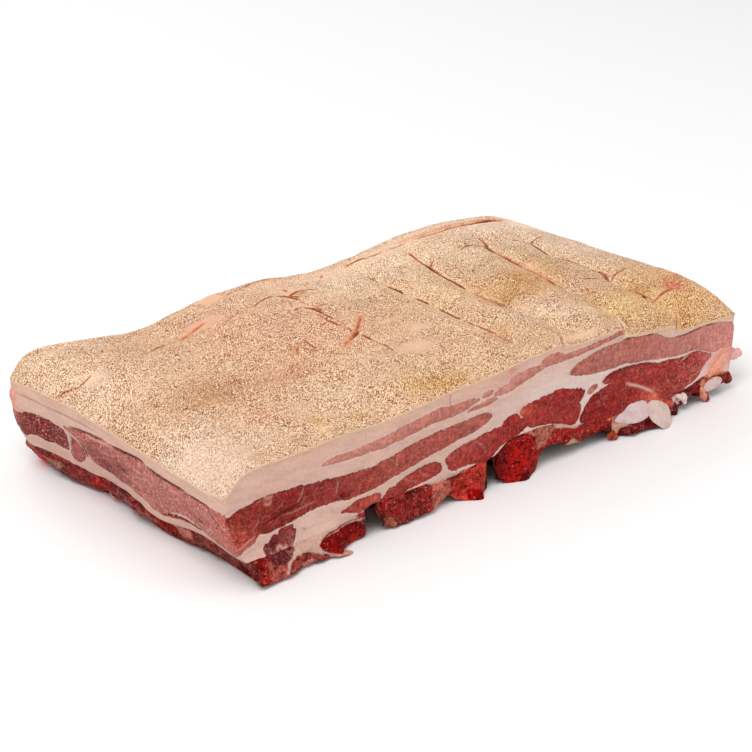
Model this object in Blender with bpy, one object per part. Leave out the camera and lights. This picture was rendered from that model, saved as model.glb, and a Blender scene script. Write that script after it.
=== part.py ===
"""Raw pork belly slab with its rind on and its ribs in, lying bone side down.

X runs along the slab, Y from the front cut face to the back one, and Z up from the surface it lies on.
The layers are, from the top: back fat under the rind with a seam of fat below it, two wedges of pale lean
held between them, a sheet of dark lean, and the rib layer. The rib layer is three blocks of meat, split by
two notches at the front, with three ribs and three cartilages running across the slab through them.

Each layer is an outline in X and Z, lofted across the slab. Shapes are first laid out in a plain box,
LENGTH by WIDTH, and bend() then gives that box the slab's undercut end and uneven foot.
Outline heights and places are in millimetres, and the finished meshes in metres.
"""

import bmesh
import bpy
import numpy as np
from mathutils import Vector
from mathutils.geometry import delaunay_2d_cdt

MM = 0.001
LENGTH = 400.0
WIDTH = 196.0
HALF_LENGTH = LENGTH / 2
HALF_WIDTH = WIDTH / 2

GAP = 0.3  # clearance between two touching pieces
TOP_STEPS = 28  # samples along the rind
BLOCK_STEPS = (9, 9, 13)  # samples along each block of rib meat, from left to right
STATIONS = 13  # sections across the slab
ROD_STATIONS = 9  # sections along a rib or cartilage
ROD_SIDES = 10
OVERRUN = 4.0  # how far a cutter runs past each cut face

UNDERCUT = 17.0  # how far the left end slopes in under the rind
UNDERCUT_HEIGHT = 42.0
UNDERCUT_REACH = 70.0
CORNER_REACH = 55.0  # along X and Y, where the back left corner is drawn out
CORNER_X = 4.0
CORNER_Y = 7.5
FOOT_HEIGHT = 20.0  # height up to which the cut faces wander in and out
FOOT_REACH = 45.0
END_REACH = 60.0
MEAT_LIFT = 1.4  # the meat between the ribs stays about this far off the surface
CORNER_ROUNDING = 3.0


def curve(*points):
    """A smooth function through (place, value) points, which turns only at its points and is level past its ends."""
    places = np.array([point[0] for point in points], float)
    values = np.array([point[1] for point in points], float)
    rises = np.diff(values) / np.diff(places)
    slopes = np.gradient(values, places)
    slopes[1:-1][rises[1:] * rises[:-1] <= 0] = 0.0

    def at(place):
        place = np.clip(place, places[0], places[-1])
        i = np.clip(np.searchsorted(places, place) - 1, 0, len(places) - 2)
        step = places[i + 1] - places[i]
        s = (place - places[i]) / step
        start = (1 + 2 * s) * (1 - s) ** 2 * values[i] + s * (1 - s) ** 2 * step * slopes[i]
        end = s * s * (3 - 2 * s) * values[i + 1] + s * s * (s - 1) * step * slopes[i + 1]
        return start + end

    return at


def ease(value):
    """Smooth step from 0 to 1."""
    value = np.clip(value, 0.0, 1.0)
    return value * value * (3 - 2 * value)


def sheet(front, back, left, right):
    """A height over the slab's plan that follows one curve along each of its four edges."""

    def at(x, y):
        u = np.clip((x + HALF_LENGTH) / LENGTH, 0, 1)
        v = np.clip((y + HALF_WIDTH) / WIDTH, 0, 1)
        along = (1 - v) * front(x) + v * back(x)
        across = (1 - u) * left(y) + u * right(y)
        near_corners = (1 - u) * front(-HALF_LENGTH) + u * front(HALF_LENGTH)
        far_corners = (1 - u) * back(-HALF_LENGTH) + u * back(HALF_LENGTH)
        return along + across - (1 - v) * near_corners - v * far_corners

    return at


# Interfaces between the layers, from the rind down.

rind = sheet(
    front=curve((-200, 57), (-190, 65.5), (-175, 67.5), (-140, 67.5), (-100, 68), (-60, 69.5), (-20, 70.5),
                (15, 73), (38, 73.5), (60, 71), (85, 69), (105, 63.5), (130, 60), (145, 56), (165, 54.5),
                (200, 52)),
    back=curve((-200, 60), (-189, 69), (-160, 69), (-114, 64), (-94, 67), (-62, 72.5), (-30, 73.5), (2, 69),
               (14, 67), (36, 68), (72, 72), (96, 74.5), (133, 74), (158, 70.5), (185, 64), (200, 59)),
    left=curve((-98, 57), (-80, 54.5), (-60, 54), (-20, 57), (50, 59), (98, 60)),
    right=curve((-98, 52), (-80, 56), (-60, 59), (0, 59), (98, 59)),
)

fat_cap_base = sheet(
    front=curve((-200, 44), (-185, 47), (-170, 48), (-130, 44.5), (-110, 43), (-95, 43.5), (-65, 47.5),
                (-30, 48.5), (-15, 49), (10, 52), (46, 58), (75, 61), (107, 59), (120, 56), (130, 53),
                (140, 50.5), (175, 49), (200, 44)),
    back=curve((-200, 43), (-185, 45), (-150, 46), (-110, 44), (-70, 47), (-20, 49), (30, 52), (70, 57),
               (110, 59), (150, 57), (200, 49)),
    left=curve((-98, 44), (-60, 46), (-25, 49), (10, 49), (30, 47.5), (60, 43.5), (98, 43)),
    right=curve((-98, 44), (-50, 47), (20, 48), (98, 49)),
)

lean_base = sheet(
    front=curve((-200, 22), (-185, 26), (-170, 27), (-145, 29.5), (-110, 28.5), (-95, 30), (-70, 34),
                (-30, 39.5), (-15, 42), (30, 48), (60, 48), (90, 45.5), (115, 42.5), (140, 38.5),
                (165, 34.5), (200, 26)),
    back=curve((-200, 22), (-160, 26), (-110, 28), (-60, 33), (-20, 39), (30, 45), (70, 46), (120, 42),
               (160, 37), (200, 29)),
    left=curve((-98, 22), (-88, 17), (-72, 17), (-60, 22), (-45, 24), (-25, 18), (5, 22), (38, 22),
               (52, 19), (75, 25), (98, 22)),
    right=curve((-98, 26), (-40, 28), (30, 30), (98, 29)),
)

seam_base = sheet(
    front=curve((-200, 15), (-150, 15.5), (-112, 18), (-95, 22), (-75, 29), (-60, 30), (-30, 34.5),
                (-5, 39), (20, 43.5), (38, 44.5), (55, 41), (70, 39.5), (85, 42), (105, 41.5),
                (125, 37.5), (150, 34.5), (200, 23)),
    back=curve((-200, 15), (-140, 17), (-90, 22), (-60, 27), (-20, 34), (30, 41), (70, 42), (120, 38.5),
               (160, 33.5), (200, 25)),
    left=curve((-98, 15), (-80, 13.5), (-60, 15), (-30, 12), (0, 15), (45, 14), (75, 18), (98, 15)),
    right=curve((-98, 23), (-40, 25), (30, 26), (98, 25)),
)

dark_lean_base = sheet(
    front=curve((-200, 13), (-97, 19), (-45, 19.5), (-18, 20), (-5, 24.5), (15, 27), (35, 25), (52, 19),
                (70, 16), (103, 15), (130, 12.5), (150, 14), (172, 18), (200, 14)),
    back=curve((-200, 13), (-97, 18), (-30, 20), (20, 23), (60, 18), (120, 16), (200, 15)),
    left=curve((-98, 13), (98, 13)),
    right=curve((-98, 14), (98, 15)),
)


def bend(x, y, z):
    """Places from the plain box, moved to the slab's real outline."""
    left_fade = np.clip(1 - (x + HALF_LENGTH) / UNDERCUT_REACH, 0, 1) ** 2
    right_fade = np.clip(1 + (x - HALF_LENGTH) / END_REACH, 0, 1) ** 2
    corner = ease(1 - (x + HALF_LENGTH) / CORNER_REACH) * ease(1 + (y - HALF_WIDTH) / CORNER_REACH)
    below_rim = np.clip(1 - z / UNDERCUT_HEIGHT, 0, 1)
    undercut = below_rim * (UNDERCUT + 3.0 * np.sin(y / 13.0))
    pushed_out = right_end(y) - 0.12 * np.clip(30 - z, 0, 30)
    bent_x = x + left_fade * undercut - CORNER_X * corner + right_fade * pushed_out
    low = np.clip(1 - z / FOOT_HEIGHT, 0, 1)
    front_fade = ease((FOOT_REACH - HALF_WIDTH - y) / FOOT_REACH)
    back_fade = ease((FOOT_REACH - HALF_WIDTH + y) / FOOT_REACH)
    bent_y = y + CORNER_Y * corner + low * (front_fade * front_foot(x) + back_fade * back_foot(x))
    return bent_x, bent_y, z


right_end = curve((-98, -7), (-64, 0), (-30, 4), (5, 1), (98, 0))

front_foot = curve((-200, -2), (-180, -6), (-163, -5), (-150, -3), (-132, -4), (-121, 0), (-100, 1), (-78, -2),
                   (-60, -2), (-45, 2), (-30, -5), (-16, 1), (0, -1), (10, -4), (24, 0), (60, 1), (85, 0),
                   (98, -7), (116, -8.2), (130, -7), (143, 0), (200, 2))

back_foot = curve((-200, 1), (-170, -3), (-140, 4), (-100, 6), (-70, -2), (-30, 3), (10, -4), (40, 5),
                  (80, 6), (120, -2), (160, 4), (200, -2))


# How the rib layer lies across the slab.

rib_sweep = curve((-98, 0), (-80, 10), (-62, 16), (0, 20), (98, 15))
first_notch = curve((-98, 10), (-82, 9), (-60, GAP), (98, GAP))
second_notch = curve((-98, 6), (-84, 5), (-62, GAP), (98, GAP))
FIRST_SPLIT = -101.0
SECOND_SPLIT = -14.0

# Each rib or cartilage: place along the front face, height, half width, half height and tilt in degrees.
RIBS = {
    "rib_1": (-125.0, 6.6, 17.0, 7.8, 0.0),
    "rib_2": (-33.0, 7.9, 13.5, 9.2, 0.0),
    "rib_3": (6.0, 9.2, 15.0, 10.6, 0.0),
    "cartilage_1": (103.0, 12.0, 14.0, 6.8, -3.0),
    "cartilage_2": (128.5, 6.5, 12.5, 7.0, -48.0),
    "cartilage_3": (178.0, 9.5, 10.5, 4.6, 3.0),
}
RIB_NARROWING = 0.72  # a rib's width at the back, as a share of its width at the front


def swept(front_x, y):
    """Place of something in the rib layer, whose pieces curve to the right as they run back."""
    return front_x + rib_sweep(y) * (1 - (front_x / HALF_LENGTH) ** 2)


def stations(count):
    """Places of the sections from the front face to the back one, closer near both faces."""
    spread = np.linspace(-1, 1, count)
    return HALF_WIDTH * (0.75 * spread + 0.25 * np.sin(spread * np.pi / 2))


def block_ends(y):
    """Left and right end of each of the three blocks of rib meat."""
    first = swept(FIRST_SPLIT, y)
    second = swept(SECOND_SPLIT, y)
    half_first = first_notch(y) / 2
    half_second = second_notch(y) / 2
    return (
        (-HALF_LENGTH, first - half_first),
        (first + half_first, second - half_second),
        (second + half_second, HALF_LENGTH),
    )


def block_samples(y, block):
    left, right = block_ends(y)[block]
    return np.linspace(left, right, BLOCK_STEPS[block])


def dark_lean_samples(y):
    """Places along the dark lean, which lies over the second and third blocks."""
    return np.concatenate([block_samples(y, 1), block_samples(y, 2)])


def material(name, colour, roughness):
    made = bpy.data.materials.new(name)
    made.use_nodes = True
    shader = made.node_tree.nodes["Principled BSDF"]
    shader.inputs["Base Color"].default_value = (*colour, 1.0)
    shader.inputs["Roughness"].default_value = roughness
    made.diffuse_color = (*colour, 1.0)
    return made


def close_end(shape, ring):
    """Fills a ring with triangles that stay inside its outline in X and Z."""
    flat = [Vector((corner.co.x, corner.co.z)) for corner in ring]
    filled = delaunay_2d_cdt(flat, [], [range(len(ring))], 1, 1e-9)
    triangles, sources = filled[2], filled[3]
    for triangle in triangles:
        shape.faces.new([ring[sources[i][0]] for i in triangle])


def loft(name, outline, count, finish, overrun=None):
    """A closed solid through outline(y), a closed ring of (x, z) places, at count sections across the slab.

    Every four-cornered patch is split from its front left to its back right corner, so that two pieces
    which touch are split alike and stay clear of each other.
    """
    mesh = bpy.data.meshes.new(name)
    shape = bmesh.new()
    rings = []
    places = stations(count)
    if overrun:
        places = np.concatenate([[places[0] - overrun], places, [places[-1] + overrun]])
    for y in places:
        x, z = outline(y)
        bent_x, bent_y, bent_z = bend(x, np.full_like(x, y), z)
        rings.append([shape.verts.new((a * MM, b * MM, c * MM)) for a, b, c in zip(bent_x, bent_y, bent_z)])
    size = len(rings[0])
    for near, far in zip(rings, rings[1:]):
        for i in range(size):
            j = (i + 1) % size
            if near[i].co.x < near[j].co.x:
                triangles = (near[i], near[j], far[j]), (near[i], far[j], far[i])
            else:
                triangles = (near[i], near[j], far[i]), (near[j], far[j], far[i])
            for triangle in triangles:
                shape.faces.new(triangle)
    close_end(shape, rings[0])
    close_end(shape, rings[-1])
    bmesh.ops.recalc_face_normals(shape, faces=shape.faces[:])
    shape.to_mesh(mesh)
    shape.free()
    mesh.shade_smooth()
    mesh.set_sharp_from_angle(angle=np.radians(35))
    mesh.materials.append(finish)
    made = bpy.data.objects.new(name, mesh)
    bpy.context.collection.objects.link(made)
    return made


def wedge_share(x, tip, root):
    """Thickness of a lean wedge as a share of the full layer, from 0 at its rounded tip to 1."""
    along = np.clip((x - tip) / (root - tip), 0, 1)
    return np.sqrt(1 - (1 - along) ** 2.2)


upper_lean_tip = curve((-98, -15), (-40, -28), (20, -22), (98, -35))
flank_lean_tip = curve((-98, 46), (-30, 38), (40, 52), (98, 40))
UPPER_LEAN_TAPER = 55.0
FLANK_LEAN_TAPER = 30.0
DARK_LEAN_TAPER = 18.0
LEAN_STEPS = 12
FLANK_STEPS = 9


def lean_wedge(y, tip, full, end, count):
    """Top and underside of a wedge of lean at samples from its tip to the slab's end."""
    spread = np.linspace(0, 1, count) ** 1.5
    x = tip + (end - tip) * spread
    share = wedge_share(x, tip, full)
    top = fat_cap_base(x, y)
    base = lean_base(x, y)
    middle = (top + base) / 2
    half = share * (top - base) / 2
    return x, middle + half, middle - half


def upper_lean(y):
    tip = upper_lean_tip(y)
    return lean_wedge(y, tip, tip - UPPER_LEAN_TAPER, -HALF_LENGTH, LEAN_STEPS)


def flank_lean(y):
    tip = flank_lean_tip(y)
    return lean_wedge(y, tip, tip + FLANK_LEAN_TAPER, HALF_LENGTH, FLANK_STEPS)


def fat_outline(y):
    """The fat, clockwise from the left end of the rind, round both slots that hold the lean."""
    top_x = np.concatenate([np.linspace(-200, -172, 4), np.linspace(-158, 200, TOP_STEPS - 4)])
    flank_x, flank_top, flank_base = flank_lean(y)
    lean_x, lean_top, lean_under = upper_lean(y)
    base_x = np.concatenate([block_samples(y, 0), dark_lean_samples(y)])[::-1]
    pieces = [
        (top_x, rind(top_x, y)),
        (flank_x[:0:-1], flank_top[:0:-1] + GAP),
        (flank_x[:1] - 2 * GAP, flank_top[:1]),
        (flank_x[1:], flank_base[1:] - GAP),
        (base_x, seam_base(base_x, y)),
        (lean_x[:0:-1], lean_under[:0:-1] - GAP),
        (lean_x[:1] + 2 * GAP, lean_top[:1]),
        (lean_x[1:], lean_top[1:] + GAP),
    ]
    return np.concatenate([x for x, z in pieces]), np.concatenate([z for x, z in pieces])


def wedge_outline(y, wedge):
    x, top, base = wedge(y)
    return np.concatenate([x, x[:0:-1]]), np.concatenate([top, base[:0:-1]])


def dark_lean(y):
    """Top and underside of the sheet of dark lean, which starts over the first notch in a rounded edge."""
    x = dark_lean_samples(y)
    top = seam_base(x, y) - GAP
    base = dark_lean_base(x, y)
    middle = (top + base) / 2
    half = wedge_share(x, x[0], x[0] + DARK_LEAN_TAPER) * (top - base) / 2
    return x, middle + half, middle - half


def underside(x, y):
    """Bottom of the meat between the ribs, a little off the surface and uneven."""
    return MEAT_LIFT + 0.7 * np.sin(x / 17.0 + 1.0) * np.cos(y / 23.0)


def block_outline(y, block):
    """A block of rib meat, up to the fat seam or the dark lean, with its lower corners rounded."""
    x = block_samples(y, block)
    if block == 0:
        top = seam_base(x, y) - GAP
    else:
        dark_x, dark_top, dark_under = dark_lean(y)
        first = BLOCK_STEPS[1]
        top = (dark_under[:first] if block == 1 else dark_under[first:]) - GAP
    base = underside(x, y)
    base[0] += CORNER_ROUNDING
    base[-1] += CORNER_ROUNDING
    return np.concatenate([x, x[::-1]]), np.concatenate([top, base[::-1]])


def rod_outline(y, rod, grow):
    """The oval of a rib or cartilage, flat where it rests, grown by grow on every side."""
    front_x, height, half_width, half_height, tilt = rod
    back_share = (y + HALF_WIDTH) / WIDTH
    narrow = 1 - (1 - RIB_NARROWING) * ease(back_share * 2.5)
    turn = 2 * np.pi * np.arange(ROD_SIDES) / ROD_SIDES
    across = (half_width * narrow + grow) * np.cos(turn)
    up = (half_height + grow) * np.sin(turn)
    lean = np.radians(tilt)
    x = swept(front_x, y) + across * np.cos(lean) - up * np.sin(lean)
    z = height + across * np.sin(lean) + up * np.cos(lean)
    return x, np.maximum(z, -grow)


def cut_rods(block, cutters):
    """Channels for the ribs and cartilages that run through a block."""
    for cutter in cutters:
        cut = block.modifiers.new("channel_" + cutter.name, "BOOLEAN")
        cut.operation = "DIFFERENCE"
        cut.solver = "EXACT"
        cut.object = cutter


def make_rods(finishes):
    """The ribs and cartilages, and the cutters that make room for them."""
    cutters = {}
    for name, rod in RIBS.items():
        finish = finishes["bone" if name.startswith("rib") else "cartilage"]
        loft(name, lambda y: rod_outline(y, rod, 0.0), ROD_STATIONS, finish)
        cutter = loft("cutter_" + name, lambda y: rod_outline(y, rod, GAP), ROD_STATIONS, finish, OVERRUN)
        cutter.hide_render = True
        cutter.display_type = "WIRE"
        cutters[name] = cutter
    return cutters


def main():
    for old in list(bpy.data.objects):
        bpy.data.objects.remove(old)
    finishes = {
        "fat": material("rind_and_fat", (0.80, 0.62, 0.50), 0.45),
        "pale_lean": material("pale_lean", (0.52, 0.19, 0.17), 0.4),
        "dark_lean": material("dark_lean", (0.33, 0.05, 0.05), 0.35),
        "rib_meat": material("rib_meat", (0.27, 0.04, 0.04), 0.35),
        "bone": material("cut_bone", (0.48, 0.07, 0.06), 0.4),
        "cartilage": material("cartilage", (0.80, 0.68, 0.66), 0.3),
    }
    loft("rind_and_fat", fat_outline, STATIONS, finishes["fat"])
    loft("upper_lean", lambda y: wedge_outline(y, upper_lean), STATIONS, finishes["pale_lean"])
    loft("flank_lean", lambda y: wedge_outline(y, flank_lean), STATIONS, finishes["pale_lean"])
    lean_sheet = loft("dark_lean", lambda y: wedge_outline(y, dark_lean), STATIONS, finishes["dark_lean"])

    blocks = [
        loft(f"rib_meat_{i + 1}", lambda y: block_outline(y, i), STATIONS, finishes["rib_meat"]) for i in range(3)
    ]
    cutters = make_rods(finishes)
    cut_rods(blocks[0], [cutters["rib_1"]])
    cut_rods(blocks[1], [cutters["rib_2"]])
    cut_rods(blocks[2], [cutters[name] for name in ("rib_3", "cartilage_1", "cartilage_2", "cartilage_3")])
    cut_rods(lean_sheet, [cutters["cartilage_1"], cutters["cartilage_2"]])


main()
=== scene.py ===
"""The looks of a raw pork belly slab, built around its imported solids.

Shapes are laid out in millimetres in the frame's axes, X along the slab, Y across it from the front cut
face to the back one and Z up, and turned into metres when a mesh is made. Colours are named as 8-bit sRGB
and turned into linear values when they are used.
"""

import bpy
import numpy as np
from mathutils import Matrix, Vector
from mathutils.geometry import delaunay_2d_cdt


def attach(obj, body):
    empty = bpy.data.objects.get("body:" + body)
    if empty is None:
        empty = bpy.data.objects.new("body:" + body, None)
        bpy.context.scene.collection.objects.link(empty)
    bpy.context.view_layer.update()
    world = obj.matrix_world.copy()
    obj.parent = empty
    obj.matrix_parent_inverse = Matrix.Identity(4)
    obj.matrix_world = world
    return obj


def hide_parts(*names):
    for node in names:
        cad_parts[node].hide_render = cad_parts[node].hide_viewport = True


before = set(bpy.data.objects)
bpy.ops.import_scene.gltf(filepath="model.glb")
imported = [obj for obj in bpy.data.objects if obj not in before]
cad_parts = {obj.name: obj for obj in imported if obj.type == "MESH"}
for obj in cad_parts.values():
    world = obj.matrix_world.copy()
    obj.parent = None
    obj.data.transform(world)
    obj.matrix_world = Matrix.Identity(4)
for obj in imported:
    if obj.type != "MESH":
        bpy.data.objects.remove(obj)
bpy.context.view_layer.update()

MM = 0.001
HALF_LENGTH = 200.0
HALF_WIDTH = 98.0

# The slab's bends, as in its solids.
UNDERCUT = 17.0
UNDERCUT_HEIGHT = 42.0
UNDERCUT_REACH = 70.0
FOOT_HEIGHT = 20.0
FOOT_REACH = 45.0
END_REACH = 60.0
CORNER_REACH = 55.0
CORNER_X = 4.0
CORNER_Y = 7.5

FINE = 0.75  # spacing of the columns on the two faces that show most
COARSE = 1.3
CORNER_RADIUS = 2.5
CORNER_STEPS = 6
FILL_SPACING = 14.0  # spacing of the points inside the plain tops and bottoms
FILL_MARGIN = 7.0
LOWEST = 0.25  # no point of the meat lies lower than this

# The four walls, as they follow each other round the slab, and what is hidden inside it.
FRONT, RIGHT, BACK, LEFT, HIDDEN = range(5)


# ---------------------------------------------------------------- smooth functions


def curve(*points):
    """A smooth function through (place, value) points, which turns only at its points."""
    places = np.array([point[0] for point in points], float)
    values = np.array([point[1] for point in points], float)
    rises = np.diff(values) / np.diff(places)
    slopes = np.gradient(values, places)
    slopes[1:-1][rises[1:] * rises[:-1] <= 0] = 0.0

    def at(place):
        place = np.clip(place, places[0], places[-1])
        i = np.clip(np.searchsorted(places, place) - 1, 0, len(places) - 2)
        step = places[i + 1] - places[i]
        s = (place - places[i]) / step
        start = (1 + 2 * s) * (1 - s) ** 2 * values[i] + s * (1 - s) ** 2 * step * slopes[i]
        end = s * s * (3 - 2 * s) * values[i + 1] + s * s * (s - 1) * step * slopes[i + 1]
        return start + end

    return at


def ease(value):
    """A value from 0 to 1 with both of its ends smoothed."""
    value = np.clip(value, 0.0, 1.0)
    return value * value * (3 - 2 * value)


def near_front(y, reach):
    """From 1 at the front face to 0 where y is reach behind it."""
    return ease((reach - HALF_WIDTH - y) / reach)


def near_left(x, reach):
    """From 1 at the left end to 0 where x is reach beyond it."""
    return ease((reach - HALF_LENGTH - x) / reach)


def sheet(front, back, left, right):
    """A height over the slab's plan that follows one curve along each of its four edges."""

    def at(x, y):
        u = np.clip((x + HALF_LENGTH) / (2 * HALF_LENGTH), 0, 1)
        v = np.clip((y + HALF_WIDTH) / (2 * HALF_WIDTH), 0, 1)
        along = (1 - v) * front(x) + v * back(x)
        across = (1 - u) * left(y) + u * right(y)
        near_corners = (1 - u) * front(-HALF_LENGTH) + u * front(HALF_LENGTH)
        far_corners = (1 - u) * back(-HALF_LENGTH) + u * back(HALF_LENGTH)
        return along + across - (1 - v) * near_corners - v * far_corners

    return at


LATTICE_SIZE = 64
LATTICE = np.random.RandomState(11).uniform(-1, 1, (LATTICE_SIZE,) * 3)


def lumps(points, size, seed=0):
    """Smooth random values from -1 to 1 at points of shape (..., 3), which change over about size mm."""
    place = points / size + 7.31 * (seed + 1)
    cell = np.floor(place).astype(int)
    part = ease(place - cell)
    total = np.zeros(points.shape[:-1])
    for offset in np.ndindex(2, 2, 2):
        weight = np.abs(1 - np.array(offset) - part).prod(-1)
        corner = (cell + offset) % LATTICE_SIZE
        total += weight * LATTICE[corner[..., 0], corner[..., 1], corner[..., 2]]
    return total


LEAST_SHARE = 0.004


def linear(colour):
    """Linear values of an 8-bit sRGB colour."""
    value = np.array(colour, float) / 255
    return np.where(value <= 0.04045, value / 12.92, ((value + 0.055) / 1.055) ** 2.4)


def tint(colours, colour, share):
    """Moves colours (n, 3), in place, towards an 8-bit colour by share (n), except for traces."""
    share = np.where(share < LEAST_SHARE, 0, share)[:, None]
    colours += share * (linear(colour) - colours)


# ---------------------------------------------------------------- the slab's form

rim = sheet(
    front=curve((-200, 57), (-190, 65.5), (-175, 67.5), (-140, 67.5), (-100, 68), (-60, 69.5), (-20, 70.5),
                (15, 73), (38, 73.5), (60, 71), (85, 69), (105, 63.5), (130, 60), (145, 56), (165, 54.5),
                (200, 52)),
    back=curve((-200, 56), (-189, 65), (-165, 68.5), (-114, 64.5), (-94, 67.5), (-62, 72.5), (-30, 73.5),
               (2, 69), (14, 67.5), (36, 68.5), (72, 72.5), (96, 75), (133, 74.5), (158, 71), (185, 64),
               (200, 59)),
    left=curve((-98, 57), (-80, 54.5), (-60, 54), (-20, 57), (50, 59), (98, 56)),
    right=curve((-98, 52), (-80, 56), (-60, 59), (0, 59), (98, 59)),
)

cap_base = sheet(
    front=curve((-200, 44), (-185, 47), (-170, 48), (-130, 44.5), (-110, 43), (-95, 43.5), (-65, 47.5),
                (-30, 48.5), (-15, 49), (10, 52), (46, 58), (75, 61), (107, 59), (120, 56), (130, 53),
                (140, 50.5), (175, 49), (200, 44)),
    back=curve((-200, 43), (-185, 45), (-150, 46), (-110, 44), (-70, 47), (-20, 49), (30, 52), (70, 57),
               (110, 59), (150, 57), (200, 49)),
    left=curve((-98, 44), (-60, 46), (-25, 49), (10, 49), (30, 47.5), (60, 43.5), (98, 43)),
    right=curve((-98, 44), (-50, 47), (20, 48), (98, 49)),
)

rib_top = sheet(
    front=curve((-200, 15), (-150, 15.5), (-130, 16), (-112, 17.5), (-103, 20), (-80, 19.5), (-45, 19),
                (-18, 19.5), (-12, 20.5), (-5, 24.5), (15, 27), (35, 25), (52, 19), (70, 16), (103, 15),
                (130, 12.5), (150, 14), (172, 18), (200, 14)),
    back=curve((-200, 14), (-97, 18), (-30, 20), (20, 23), (60, 18), (120, 16), (200, 15)),
    left=curve((-98, 15), (-80, 13.5), (-60, 15), (-30, 12), (0, 15), (45, 14), (75, 18), (98, 15)),
    right=curve((-98, 14), (98, 15)),
)

right_end = curve((-98, -7), (-64, 0), (-30, 4), (5, 1), (98, 0))

front_foot = curve((-200, -8), (-188, -10), (-176, -10), (-164, -8), (-152, -6), (-138, -6.5), (-130, -6.5),
                   (-124, -1), (-90, -0.5), (-78, -2.4), (-62, -2.4), (-45, 2), (-36, -1), (-27, -6.5),
                   (-22, -1.5), (-14, 2), (0, -1.5), (9, -5), (18, -1), (40, 0), (80, 0), (90, -3),
                   (97, -8), (110, -9), (119, -11.5), (128, -9), (138, -3), (144, 0), (200, 0))

back_foot = curve((-200, 1), (-170, -3), (-140, 4), (-100, 6), (-70, -2), (-30, 3), (10, -4), (40, 5),
                  (80, 6), (120, -2), (160, 4), (200, -2))


def bend(x, y, z):
    """Places from the plain box, moved to the slab's real outline."""
    # The back left corner is pushed out and rounded, and the left end is undercut.
    corner = ease(1 - (x + HALF_LENGTH) / CORNER_REACH) * ease(1 + (y - HALF_WIDTH) / CORNER_REACH)
    rounding = 2.2 * ease(1 - (x + HALF_LENGTH) / 15) * ease(1 + (y - HALF_WIDTH) / 15)
    below_rim = np.clip(1 - z / UNDERCUT_HEIGHT, 0, 1)
    undercut = below_rim * (UNDERCUT + 3.0 * np.sin(y / 13.0))
    undercut -= 4.5 * ease((y - 50) / 45) * np.sin(np.pi * np.clip(z / UNDERCUT_HEIGHT, 0, 1))
    undercut += 3.0 * ease((-60 - y) / 38) * below_rim
    left_fade = np.clip(1 - (x + HALF_LENGTH) / UNDERCUT_REACH, 0, 1) ** 2
    # The right end bulges, with its foot and its front corner drawn in.
    pushed_out = right_end(y) - 0.12 * np.clip(30 - z, 0, 30)
    right_fade = np.clip(1 + (x - HALF_LENGTH) / END_REACH, 0, 1) ** 2
    bent_x = x + left_fade * undercut - CORNER_X * corner + right_fade * pushed_out + rounding
    # The feet of the front and back faces wander in and out.
    low = np.clip(1 - z / FOOT_HEIGHT, 0, 1)
    foot = low * (near_front(y, FOOT_REACH) * front_foot(x) + near_front(-y, FOOT_REACH) * back_foot(x))
    bent_y = y + CORNER_Y * corner + foot - rounding
    return np.stack([bent_x, bent_y, z * np.ones_like(bent_x)], -1)


# Score lines cut along Y in the rind: the place of each along X, from the front rim to the back one.
SCORES = [
    curve((-98, -47), (-35, -37), (-8, -36), (10, -35), (30, -33), (45, -30), (62, -30), (75, -23),
          (98, -14)),
    curve((-98, 2), (-80, 19), (-65, 22), (-30, 24), (-4, 28), (15, 29), (42, 30), (68, 35), (98, 42)),
    curve((-98, 40), (-75, 56), (-57, 58), (-20, 58), (5, 60.5), (30, 65.5), (47, 69.5), (78, 77),
          (98, 84)),
    curve((-98, 91), (-80, 104), (-62, 109), (-46, 110), (-23, 112), (-3, 116), (25, 118), (48, 121),
          (68, 129), (98, 134)),
    curve((-98, 137), (-80, 154), (-28, 154), (-15, 161), (-8, 159), (8, 159), (24, 153), (46, 158),
          (98, 172)),
]

# Where a score line meets the front rim the rind has slipped: line, rise on its left, fall on its right,
# and reach of both.
RIM_STEPS = [(2, 0.8, 1.6, 16.0), (3, 2.9, 2.2, 14.0), (4, 1.2, 1.5, 9.0)]
RIM_STEP_LENGTH = 32.0


def rind_top(x, y):
    """Height of the rind with the slipped steps at its front rim."""
    height = rim(x, y)
    fade = near_front(y, RIM_STEP_LENGTH)
    for line, rise, fall, reach in RIM_STEPS:
        gap = x - SCORES[line](y)
        height = height + fade * np.where(gap < 0, rise, -fall) * np.exp(-np.abs(gap) / reach)
    return height


rib_sweep = curve((-98, 0), (-80, 10), (-62, 16), (0, 20), (98, 15))
first_notch = curve((-98, 10), (-82, 9), (-60, 0.3), (98, 0.3))
second_notch = curve((-98, 6), (-84, 5), (-62, 0.3), (98, 0.3))
# How much further each notch opens towards the right behind the front face.
first_hollow = curve((-98, 0), (-78, 9), (-70, 8), (-58, 0), (98, 0))
second_hollow = curve((-98, 0), (-82, 4), (-72, 3.5), (-60, 0), (98, 0))
FIRST_SPLIT = -101.0
SECOND_SPLIT = -14.0


def swept(front_x, y):
    """Place of something in the rib layer, whose pieces curve to the right as they run back."""
    return front_x + rib_sweep(y) * (1 - (front_x / HALF_LENGTH) ** 2)


# ---------------------------------------------------------------- tissue colours

LEAN_PALE = (190, 124, 109)
LEAN_PINK = (172, 101, 88)
LEAN_BROWN = (166, 96, 84)
LEAN_DEEP = (120, 28, 25)
LEAN_DARK = (140, 36, 34)
LEAN_RED = (150, 50, 45)
LEAN_PURPLE = (116, 46, 43)
MEAT_DARK = (122, 34, 30)
FAT_PLAIN = (209, 171, 157)
FAT_WARM = (222, 176, 138)
FAT_WHITE = (219, 196, 188)

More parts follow.
